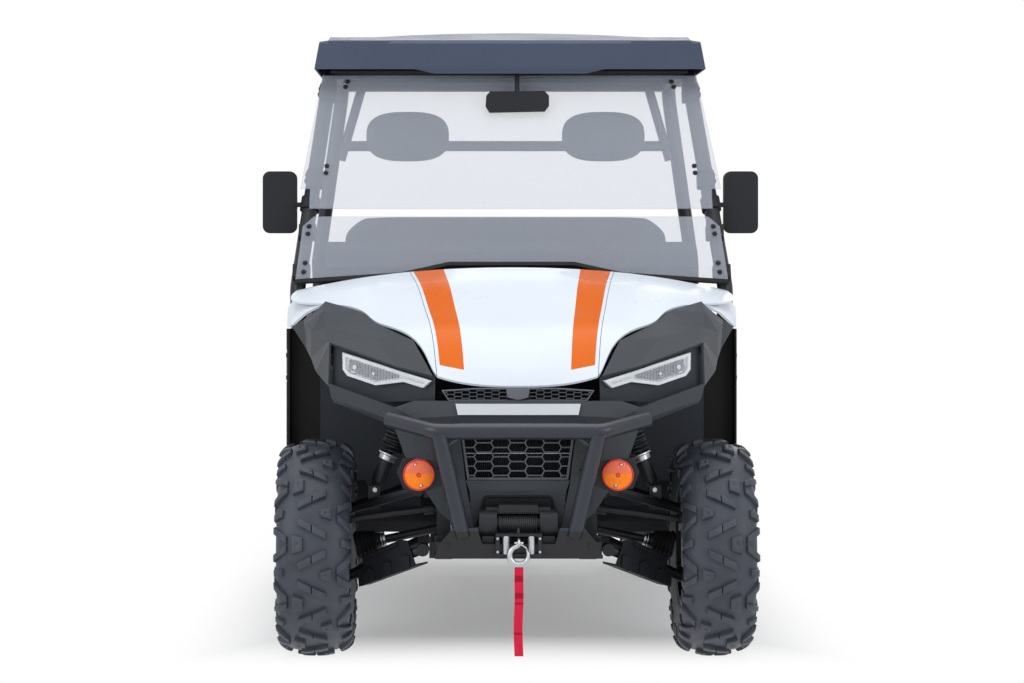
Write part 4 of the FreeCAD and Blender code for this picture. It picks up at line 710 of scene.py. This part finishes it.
def headlamps():
    """Wedge lamps on a raked plane: a pale light guide round a sunken bowl with upright flutes, under a clear cover."""
    u = np.array([1.0, LAMP_RAKE, 0.0])
    k = np.linalg.norm(u)
    place = at((LAMP_X, LAMP_Y, 0.0), u, UP)
    edge = np.column_stack([(LAMP_EDGE[:, 0] - LAMP_X) * k, LAMP_EDGE[:, 1]])
    guide, bright, clear = Pile(), Pile(), Pile()
    rings = [(edge, -0.016), (edge, -0.004), (inset(edge, 0.0015), -0.0025), (inset(edge, 0.0095), -0.0025),
             (inset(edge, 0.011), -0.012)]
    verts = np.concatenate([np.column_stack([q, np.full(len(edge), w)]) for q, w in rings])
    guide.add(place(verts), skin_faces(len(rings), len(edge)))
    bowl = inset(edge, 0.013)
    for x in np.arange(0.300, 0.500, 0.0088):
        q = (x - LAMP_X) * k
        cuts = [p[1] + (r[1] - p[1]) * (q - p[0]) / (r[0] - p[0]) for p, r in zip(bowl, np.roll(bowl, -1, 0))
                if (p[0] - q) * (r[0] - q) < 0]
        if len(cuts) >= 2 and max(cuts) - min(cuts) > 0.008:
            path = place(np.array([[q, min(cuts) + 0.001, -0.0095], [q, max(cuts) - 0.001, -0.0095]]))
            bright.add(*swept(path, 0.0033, 10))
    axis = np.cross(u, UP)
    for x, z, r in ((0.480, 0.892, 0.0185), (0.424, 0.874, 0.0130)):
        c = place(np.array([[(x - LAMP_X) * k, z, -0.009]]))[0]
        bright.add(*turned([(-0.002, 0), (-0.002, r), (0.0045, r), (0.0045, r * 0.86), (0.0005, r * 0.6),
                            (-0.001, 0.0)], c, axis, 36))
        guide.add(*turned([(-0.001, 0), (-0.001, r * 0.42), (0.003, r * 0.34), (0.005, 0.0)], c, axis, 24))
    cover = inset(edge, 0.0005)
    clear.add(*plate(cover, lambda q: place(q + np.array([0, 0, -0.0018])), 0.0022, 0.0006))
    piece(doubled(guide), "lamp_guides", "lamp_tube", BODY, 30, ("headlamps",))
    piece(doubled(bright), "lamp_bowls", "reflector", BODY, 40)
    piece(doubled(clear), "lamp_covers", "glass", BODY, 30)


def tail_lamps():
    """Upright tail lamps: a bevelled lens whose face waves in ribs across it."""
    rows = 97
    lo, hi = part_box("tail_lamps")
    x0, x1 = 0.574, 0.626
    y0, y1 = lo[1], hi[1]
    P = np.zeros((rows, 8, 3))
    P[..., 0] = [x0, x0, x0 + 0.002, x0 + 0.005, x1 - 0.005, x1 - 0.002, x1, x1]
    depth = np.array([y0, y1 - 0.004, y1 - 0.0015, y1 - 0.001, y1 - 0.001, y1 - 0.0015, y1 - 0.004, y0])
    mid = np.array([0, 0, 0.4, 1, 1, 0.4, 0, 0])
    wave = 0.0009 * np.abs(np.sin(np.linspace(0, 14 * math.pi, rows)))
    P[..., 1] = depth - mid * (0.0009 - wave[:, None])
    P[..., 2] = np.linspace(0.836, 0.996, rows)[:, None]
    lens = Pile()
    lens.add(P.reshape(-1, 3), skin_faces(rows, 8, flip=True))
    piece(doubled(lens), "tail_lenses", "red_lens", "bed", 30, ("tail_lamps",))


# Winch, hook and strap

def winch_parts():
    """Rope wound on the drum as a tube along a helix, roller sleeves, and the bolts of the winch and its plate."""
    rope, metal, dark = Pile(), Pile(), Pile()
    turns, wound_r = 19, 0.0247
    w = np.linspace(0, 1, turns * 20)
    a = tau * turns * w
    path = np.stack([-0.056 + 0.112 * w, DRUM_Y + wound_r * np.cos(a), DRUM_Z + wound_r * np.sin(a)], -1)
    rope.add(*swept(path, 0.0027, 6))
    for x in (-0.036, 0.036):
        metal.add(*turned(ring_profile(0.0, 0.052, 0.008, 0.0102, 0.0015), (x, -1.506, 0.373), UP, 32))
    for x in (-0.060, 0.060):
        for z in (0.380, 0.418):
            bolt(metal, (x, -1.5145, z), FORWARD, 0.004, 0.003, False)
    for x in (-0.11205, 0.11205):
        for a in np.arange(6) * tau / 6:
            bolt(dark, (x, DRUM_Y + 0.031 * math.cos(a), DRUM_Z + 0.031 * math.sin(a)), (np.sign(x), 0, 0),
                 0.0035, 0.002, False)
    for x, z in ((-0.205, 0.395), (0.205, 0.395), (-0.150, 0.425), (0.150, 0.425)):
        bolt(dark, (x, -1.4945, z), FORWARD, 0.0075, 0.005)
    piece(rope, "winch_rope", "dark_rope", BODY, 60)
    piece(metal, "winch_rollers", "steel", BODY, 40)
    piece(dark, "winch_bolts", "paint_black", BODY, 40)


def chin_bead():
    """Raised bead round the winch on the chin's sloping face, a round bar sunk in it by half."""
    legs = [(-0.1205, 0.441), (-0.1130, 0.467), (-0.1040, 0.498), (-0.0985, 0.517), (-0.0950, 0.5235),
            (-0.0880, 0.526)]
    path = legs + [(x, 0.526) for x in np.linspace(-0.07, 0.07, 8)] + [(-x, z) for x, z in legs[::-1]]
    path = [(x, -1.4020 + max(0.0, 0.544 - z) * 0.1667, z) for x, z in path]
    pile = Pile()
    pile.add(*swept(np.array(path), 0.0042, 14))
    piece(pile, "chin_bead", "rubber", BODY, 60)


def hook():
    """Open hook: a round bar that thickens at its bend and thins to its tip, with an eye, a latch and its rope."""
    pile = Pile()
    y = HOOK_Y
    c = np.array([0.0, y, 0.3716])
    a = np.radians(np.linspace(100, 395, 44))
    path = c + 0.0262 * np.stack([np.cos(a), np.zeros_like(a), np.sin(a)], -1)
    lead = np.array([[0.0, y, 0.410], [-0.0008, y, 0.4055], [-0.0024, y, 0.4010]])
    path = np.concatenate([lead, path])
    w = np.linspace(0, 1, len(path))
    radius = np.interp(w, [0, 0.12, 0.45, 0.62, 0.9, 1], [0.0066, 0.0064, 0.0092, 0.0088, 0.0054, 0.0024])
    pile.add(*swept(path, radius, 16))
    b = np.radians(np.linspace(0, 360, 33)[:-1])
    eye = np.stack([np.zeros_like(b), y + 0.0088 * np.cos(b), 0.407 + 0.0088 * np.sin(b)], -1)
    pile.add(*swept(eye, 0.0042, 12, closed=True))
    pile.add(*turned(pin_profile(-0.0125, 0.0125, 0.0036), (0, y, 0.407), SIDEWAYS, 20))
    latch = np.array([[0.003, y, 0.4015], [0.0100, y, 0.4005], [0.0185, y, 0.3945], [0.0232, y, 0.3885]])
    pile.add(*swept(latch, [0.0028, 0.0024, 0.0020, 0.0016], 10))
    t = np.linspace(0, 1, 12)[:, None]
    line = (1 - t) * np.array([0, y + 0.008, 0.409]) + t * np.array([0, -1.462, 0.440])
    pile.add(*swept(line, 0.0030, 8))
    piece(pile, "hook_body", "steel", BODY, 60, ("winch_hook",))


def strap():
    """Webbing strip that hangs from the hook: a thin closed sheet whose depth waves a little down its length."""
    n, m = 64, 7
    half_width, half_thick = 0.0126, 0.0007
    t = np.linspace(0, 1, n)
    u = np.linspace(-1, 1, m)
    wave = 0.0022 * np.sin(tau * 1.6 * t + 0.4) * smoothstep(t, 0.05, 0.4)
    side = 0.0016 * np.sin(tau * 1.1 * t) * smoothstep(t, 0.1, 0.5) - 0.001 * t
    mid = np.zeros((n, m, 3))
    mid[..., 0] = u * half_width + side[:, None]
    mid[..., 1] = HOOK_Y + wave[:, None] * (0.35 + 0.12 * u)
    mid[..., 2] = np.linspace(0.3375, 0.0865, n)[:, None]
    pile = Pile()
    pile.add(np.concatenate([(mid + (0, y, 0)).reshape(-1, 3) for y in (-half_thick, half_thick)]), slab_faces(n, m))
    obj = piece(pile, "strap_webbing", "red_web", BODY, 30, ("hook_strap",))


# Screen and cab

LEAN = math.radians(27.1)


def on_pane(x, z):
    """Point on the pane's outer face at x and z."""
    return (x, -0.600 + (z - 1.150) * math.tan(LEAN) - 0.0056, z)


def pane_bolts():
    """Paired round knobs through the panes at the clamps, each a turned profile."""
    dark = Pile()
    for sgn in (-1, 1):
        for x, z in ((0.541, 1.797), (0.548, 1.779), (0.603, 1.511), (0.605, 1.488), (0.664, 1.194), (0.668, 1.165),
                     (0.655, 1.312), (0.658, 1.288)):
            dark.add(*turned([(-0.002, 0), (-0.002, 0.0078), (0.0012, 0.0082), (0.0022, 0.0064), (0.0052, 0.0058),
                              (0.0062, 0.0040), (0.0062, 0)], on_pane(sgn * x, z),
                             (0, -math.cos(LEAN), math.sin(LEAN)), 24))
    piece(dark, "pane_bolts", "black_plastic", BODY, 40)


def frame_bar(pile, outer, inner, y0, y1, soft=0.0006):
    """Bar between two like polygons in x and z, its front edges softened; y0 is the front and y1 the back."""
    rows = [(outer, y1), (outer, y0 + soft), (inset(outer, soft), y0), (inset(inner, -soft), y0), (inner, y0 + soft),
            (inner, y1)]
    verts = np.concatenate([np.column_stack([q[:, 0], np.full(len(q), y), q[:, 1]]) for q, y in rows])
    pile.add(verts, grid_faces(len(rows), len(outer), wrap_r=True, wrap_c=True))


def clipped(poly, window):
    """Part of a convex polygon inside a convex counter-clockwise window, without corners closer than 2.5 mm."""
    out = [np.asarray(q, float) for q in poly]
    for a, b in zip(window, np.roll(window, -1, 0)):
        n = np.array([a[1] - b[1], b[0] - a[0]])
        src, out = out, []
        for p, q in zip(src, src[1:] + src[:1]):
            dp, dq = np.dot(p - a, n), np.dot(q - a, n)
            if dp >= 0:
                out.append(p)
            if dp * dq < 0:
                out.append(p + (q - p) * dp / (dp - dq))
        if not out:
            return None
    keep = []
    for q in out:
        if not keep or np.linalg.norm(q - keep[-1]) > 0.0025:
            keep.append(q)
    if len(keep) > 2 and np.linalg.norm(keep[0] - keep[-1]) < 0.0025:
        keep.pop()
    return np.array(keep) if len(keep) > 2 else None


def honeycomb(pile, outline, border, a, c, b, line, y0, y1, clear=0.0):
    """Frame along an outline and thin walls of long hexagons across it, half widths a and c, half height b."""
    outline = np.asarray(outline, float)
    window = inset(outline, border)
    frame_bar(pile, outline, window, y0 - 0.001, y1)
    lo, hi = window.min(0), window.max(0)
    mid = (lo + hi) / 2
    for i in range(-12, 13):
        for j in range(-8, 9):
            o = mid + (i * (a + c), (2 * j + i % 2) * b)
            if np.any(o < lo - a) or np.any(o > hi + a) or abs(o[0]) < clear:
                continue
            cell = clipped(o + [(-c, -b), (c, -b), (a, 0), (c, b), (-c, b), (-a, 0)], window)
            if cell is None:
                continue
            outer, inner = inset(cell, 0.00005), inset(cell, line)
            along = np.sum((np.roll(outer, -1, 0) - outer) * (np.roll(inner, -1, 0) - inner), 1)
            if np.all(along > 0):
                frame_bar(pile, outer, inner, y0, y1, 0.0003)


def grilles():
    """Lower honeycomb, the strip under the bonnet's lip with its bare shield, and the bright rail behind."""
    pile, rail = Pile(), Pile()
    honeycomb(pile, [(-0.146, 0.5723), (0.146, 0.5723), (0.164, 0.706), (-0.164, 0.706)], 0.005,
              0.0285, 0.0205, 0.0135, 0.0017, -1.387, -1.376)
    honeycomb(pile, [(-0.200, 0.8023), (0.200, 0.8023), (0.220, 0.832), (0.120, 0.8386), (-0.120, 0.8386),
                     (-0.220, 0.832)], 0.0025, 0.0125, 0.0090, 0.0056, 0.0009, -1.407, -1.386, 0.030)
    pile.add(*plate([(-0.034, 0.836), (-0.030, 0.812), (0, 0.804), (0.030, 0.812), (0.034, 0.836)],
                    at((0, -1.400, 0), SIDEWAYS, UP), 0.012, 0.001))
    x = np.linspace(-0.150, 0.150, 5)
    rail.add(*swept(np.stack([x, np.full(5, -1.369), np.full(5, 0.648)], -1), 0.0016, 10))
    piece(pile, "grille_mesh", "grille", BODY, 30, ("grille",))
    piece(rail, "grille_rail", "steel", BODY, 50)


def pillar_clamps():
    """Strap clamps round the front pillars at the upper pane's knobs, each with a screw at its outer side."""
    pile = Pile()
    foot, top = np.array([0.690, -0.560, 1.110]), np.array([0.602, -0.195, 1.836])
    axis = (top - foot) / np.linalg.norm(top - foot)
    for t in (0.50, 0.905):
        q = foot + t * (top - foot)
        pile.add(*turned(ring_profile(-0.022, 0.022, CAGE_R - 0.001, CAGE_R + 0.0045, 0.0012), q, axis, 40))
        for k in (-0.011, 0.011):
            bolt(pile, q + axis * k + (CAGE_R + 0.003, 0, 0), SIDEWAYS, 0.0055, 0.004, False)
    piece(doubled(pile), "pillar_clamps", "black_plastic", BODY, 40)


def rounded(w, h, r, n=6):
    """Counter-clockwise rectangle w by h with round corners."""
    out = []
    for k, (sx, sy) in enumerate(((1, 1), (-1, 1), (-1, -1), (1, -1))):
        for a in np.linspace(k * tau / 4, (k + 1) * tau / 4, n):
            out.append((sx * (w / 2 - r) + r * math.cos(a), sy * (h / 2 - r) + r * math.sin(a)))
    return out


def paddle(pile, origin, u, v, w, h):
    """Latch on a face: bezel, lever with a raised lip at its lower end, and a round pin above it."""
    n = np.cross(u, v)
    origin = np.asarray(origin, float)
    v = np.asarray(v, float)
    pile.add(*plate(rounded(w, h, 0.010), at(origin - n * 0.001, u, v), 0.0045, 0.001))
    pile.add(*plate(rounded(w - 0.014, h * 0.62, 0.006), at(origin + n * 0.003 - v * h * 0.12, u, v), 0.0035, 0.001))
    pile.add(*plate(rounded(w - 0.018, 0.010, 0.0045), at(origin + n * 0.006 - v * h * 0.37, u, v), 0.0040, 0.0012))
    pile.add(*turned([(0.002, 0), (0.002, 0.0065), (0.0048, 0.0070), (0.0056, 0.0060), (0.0056, 0)],
                     origin + v * h * 0.35, n, 28))


def latches():
    """Paddle latches on the doors' back edges and in the tailgate's sunken field."""
    left = Pile()
    paddle(left, (0.730, 0.400, 0.945), (0, 1, 0), UP, 0.052, 0.104)
    piece(left, "door_latch_left", "rubber", "door_left", 35)
    piece(left.flipped(), "door_latch_right", "rubber", "door_right", 35)
    gate = Pile()
    paddle(gate, (0, GATE_FIELD_Y, 0.965), (-1, 0, 0), UP, 0.150, 0.078)
    piece(gate, "gate_latch", "rubber", "tailgate", 35)


def pillow(c, h, e, nu, nv, shape):
    """Closed pillow form: a sphere's angles with each cosine and sine raised to the power e, then changed by
    shape, times half sizes h."""
    def power(x, q):
        """The power of a number's size, with its sign kept."""
        return np.sign(x) * np.abs(x) ** q

    P, T = np.meshgrid(np.linspace(-math.pi / 2, math.pi / 2, nv)[1:-1], np.arange(nu) * tau / nu, indexing="ij")
    round_ = power(np.cos(P), e[2])
    v = np.stack([round_ * power(np.cos(T), e[0]), round_ * power(np.sin(T), e[1]), power(np.sin(P), e[2])], -1)
    v = np.concatenate([v.reshape(-1, 3), [[0, 0, -1], [0, 0, 1]]])
    shape(v)
    n = (nv - 2) * nu
    faces = grid_faces(nv - 2, nu, wrap_c=True)
    faces += [(n, (j + 1) % nu, j) for j in range(nu)]
    faces += [(n + 1, n - nu + j, n - nu + (j + 1) % nu) for j in range(nu)]
    return np.asarray(c) + v * np.asarray(h), faces


def channels(x, places, width):
    """Sum of round grooves, each a bell curve of that width about its place."""
    return sum(np.exp(-((x - k) / width) ** 2) for k in places)


def seats():
    """Bench, back and headrests as pillow forms with sewn channels pressed into their crowns."""
    seams = (-0.66, -0.34, 0.34, 0.66)

    def bench(v):
        """Channels pressed into the top, which sinks a little between them."""
        top = smoothstep(v[:, 2], 0.2, 0.9)
        press = channels(v[:, 0], seams, 0.012) + channels(v[:, 1], (-0.45, 0.1, 0.6), 0.03)
        v[:, 2] -= 0.10 * np.minimum(press, 1) * top
        v[:, 2] += 0.10 * top * (np.cos(v[:, 0] * math.pi * 1.5) * 0.4 - 0.4)

    def back(v):
        """Channels pressed into the front, and lower corners at the top."""
        front = smoothstep(-v[:, 1], 0.2, 0.9)
        press = channels(v[:, 0], seams, 0.012) + channels(v[:, 2], (-0.5, 0.0, 0.5), 0.02)
        v[:, 1] += 0.14 * np.minimum(press, 1) * front
        v[:, 2] -= 0.10 * smoothstep(np.abs(v[:, 0]), 0.86, 1.0) * smoothstep(v[:, 2], 0.5, 1.0)

    def rest(v):
        """An oval channel pressed into the front."""
        front = smoothstep(-v[:, 1], 0.2, 0.9)
        v[:, 1] += 0.10 * channels(np.hypot(v[:, 0], v[:, 2]), (0.72,), 0.035) * front

    cushion, backrest, rests = Pile(), Pile(), Pile()
    cushion.add(*pillow((0, 0.155, 0.7632), (0.581, 0.2245, 0.0622), (0.16, 0.20, 0.34), 160, 48, bench))
    backrest.add(*pillow((0, 0.4272, 1.0925), (0.581, 0.0368, 0.2600), (0.16, 0.5, 0.16), 160, 72, back))
    rests.add(*pillow((0.355, 0.434, 1.645), (0.150, 0.0315, 0.090), (0.82, 0.55, 0.72), 96, 44, rest))
    stay = circle(0.022, 20) * (1.1, 1)
    rests.add(*plate(stay, at((0.355, 0.4685, 1.612), SIDEWAYS, UP), 0.028, 0.002))
    for pile, name, node in ((cushion, "bench_pad", "seat_cushion"), (backrest, "back_pad", "seat_backrest"),
                             (doubled(rests), "headrest_pads", "headrests")):
        obj = piece(pile, name, "vinyl", BODY, 50, (node,))


def mirror_glass():
    """Glass in the backs of the side mirrors and of the inner mirror: thin plates with bevelled edges."""
    def glass(pile, y, outline, depth):
        """Adds the glass on an outline in x and z, its face to the rear."""
        poly = [(-x, z) for x, z in reversed(outline)]
        pile.add(*plate(poly, at((0, y, 0), (-1, 0, 0), UP), depth, 0.0006))

    side = Pile()
    glass(side, -0.3665, [(0.713, 1.304), (0.805, 1.304), (0.809, 1.308), (0.809, 1.476), (0.805, 1.480),
                          (0.713, 1.480), (0.709, 1.476), (0.709, 1.308)], 0.0018)
    both = doubled(side)
    glass(both, -0.3305, [(-0.066, 1.700), (0.114, 1.702), (0.121, 1.714), (0.121, 1.744), (0.112, 1.755),
                          (-0.064, 1.753), (-0.073, 1.744), (-0.073, 1.712)], 0.0016)
    piece(both, "mirror_faces", "mirror", BODY, 30)


def wheel_nuts():
    """Hub caps with their nuts and a valve on each rim."""
    bolt_circle_r = 0.056
    for end, _, track, y in WHEELS:
        for side, sgn in SIDES:
            node = "rim_%s_%s" % (end, side)
            lo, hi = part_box(node)
            lip = (hi[0] - lo[0]) / 2
            face = lip - 0.056 + 0.012
            pile = Pile()
            for k in range(4):
                t = tau * (k + 0.5) / 4
                q = np.array([face, bolt_circle_r * math.cos(t), bolt_circle_r * math.sin(t)])
                pile.add(*turned([(-0.004, 0), (-0.004, 0.0125), (0.001, 0.0125), (0.004, 0.0088), (0.004, 0)], q,
                                 SIDEWAYS, 24))
                bolt(pile, q + (0.003, 0, 0), SIDEWAYS, 0.0095, 0.012, False)
            pile.add(*turned([(face + 0.006, 0.0), (face + 0.006, 0.039), (face + 0.014, 0.038), (face + 0.019, 0.030),
                              (face + 0.021, 0.014), (face + 0.021, 0)], (0, 0, 0), SIDEWAYS, 48))
            pile.add(*turned([(-0.004, 0), (-0.004, 0.004), (0.016, 0.004), (0.018, 0.003), (0.026, 0.003), (0.026, 0)],
                             (lip - 0.046, 0.132, 0.0), (1, 0.3, 0), 16))
            piece(pile.at_wheel(sgn, track, y), "wheel_nuts_%s_%s" % (end, side), "steel",
                  "wheel_%s_%s" % (end, side), 35)


for build in (tyres, latches, grilles, chin_bead, pillar_clamps, shocks, boots, marker_lamps, headlamps, tail_lamps,
              winch_parts, hook, strap, pane_bolts, seats, mirror_glass, wheel_nuts):
    build()


# Stage

def floor():
    """Pale floor that turns into plain white light away from the vehicle; the glow mixed in under the vehicle is
    painted light that lightens its shadow.
    """
    size = 30.0
    obj = mesh_object("floor", [(-size, -size, 0), (size, -size, 0), (size, size, 0), (-size, size, 0)],
                      [(0, 1, 2, 3)])
    m = bpy.data.materials.new("floor")
    m.use_nodes = True
    nt = m.node_tree
    shader = nt.nodes["Principled BSDF"]
    feed(nt, shader, {"Base Color": (0.88, 0.88, 0.88, 1), "Roughness": 0.9, "Specular IOR Level": 0.0})
    white = add_node(nt, "Emission", {"Color": (1, 1, 1, 1)})
    maths, (x, y, _) = graph(m)

    def ramp(socket, lo, hi, to_min=0.0):
        """Smooth rise from one distance to another along one way of the floor."""
        return add_node(nt, "MapRange", {"From Min": lo, "From Max": hi, "To Min": to_min, "Value": socket},
                        interpolation_type="SMOOTHSTEP").outputs["Result"]

    # Glow of 0.3 between the wheels, rising from y = -0.25 under the front: painted light that lightens the vehicle's
    # shadow.
    sides = ramp(maths("ABSOLUTE", x), 0.62, 1.10, 0.3)
    front = ramp(maths("MULTIPLY", y, -1.0), 0.25, 1.25)
    fade = maths("MAXIMUM", maths("MAXIMUM", sides, front), ramp(y, 1.6, 4.0))
    mix = add_node(nt, "MixShader", {"Fac": fade, 1: shader.outputs["BSDF"], 2: white.outputs["Emission"]})
    feed(nt, nt.nodes["Material Output"], {"Surface": mix.outputs["Shader"]})
    obj.data.materials.append(m)


def world():
    """White background for the camera and reflections, a dimmer bluish sky as light."""
    studio = bpy.data.worlds.new("studio")
    bpy.context.scene.world = studio
    studio.use_nodes = True
    nt = studio.node_tree
    sky = nt.nodes["Background"]
    feed(nt, sky, {"Color": (0.93, 0.96, 1.0, 1), "Strength": 0.60})
    white = add_node(nt, "Background", {"Color": (1, 1, 1, 1), "Strength": 1.0})
    ray = add_node(nt, "LightPath").outputs
    seen = add_node(nt, "Math", {0: ray["Is Camera Ray"], 1: ray["Is Transmission Ray"]}, operation="MAXIMUM")
    seen = add_node(nt, "Math", {0: seen.outputs[0], 1: ray["Is Glossy Ray"]}, operation="MAXIMUM")
    mix = add_node(nt, "MixShader", {"Fac": seen.outputs[0], 1: sky.outputs["Background"],
                                     2: white.outputs["Background"]})
    feed(nt, nt.nodes["World Output"], {"Surface": mix.outputs["Shader"]})


def lights():
    """Soft rectangular lights: name, place, aim, size and power."""
    for name, loc, aim, size, power in (("top", (0.0, -0.8, 5.0), (0, 0, 0.8), (4.5, 5.0), 128),
                                        ("front left", (-4.2, -5.2, 3.2), (0, -0.6, 0.9), (3.0, 2.6), 92),
                                        ("front right", (4.4, -5.0, 2.8), (0, -0.6, 0.9), (2.6, 2.6), 76),
                                        ("back", (0.6, 5.5, 3.4), (0, 0, 1.0), (4.0, 2.4), 120)):
        light = bpy.data.lights.new(name, "AREA")
        light.shape = "RECTANGLE"
        light.size, light.size_y = size
        light.energy = power
        obj = bpy.data.objects.new(name, light)
        obj.location = loc
        obj.rotation_euler = (Vector(aim) - Vector(loc)).to_track_quat("-Z", "Y").to_euler()
        bpy.context.collection.objects.link(obj)


def camera():
    """Level camera in front, set back and shifted so that the vehicle stands as in the picture."""
    cam = bpy.data.cameras.new("camera")
    cam.lens = 86.31
    cam.sensor_width = 36.0
    cam.shift_x = 0.0532
    cam.shift_y = -0.0938
    obj = bpy.data.objects.new("camera", cam)
    obj.location = (-0.174, -8.480, 1.250)
    obj.rotation_euler = (math.radians(90), 0, 0)
    bpy.context.collection.objects.link(obj)
    bpy.context.scene.camera = obj


floor()
world()
lights()
camera()
bpy.context.scene.view_settings.view_transform = "Standard"
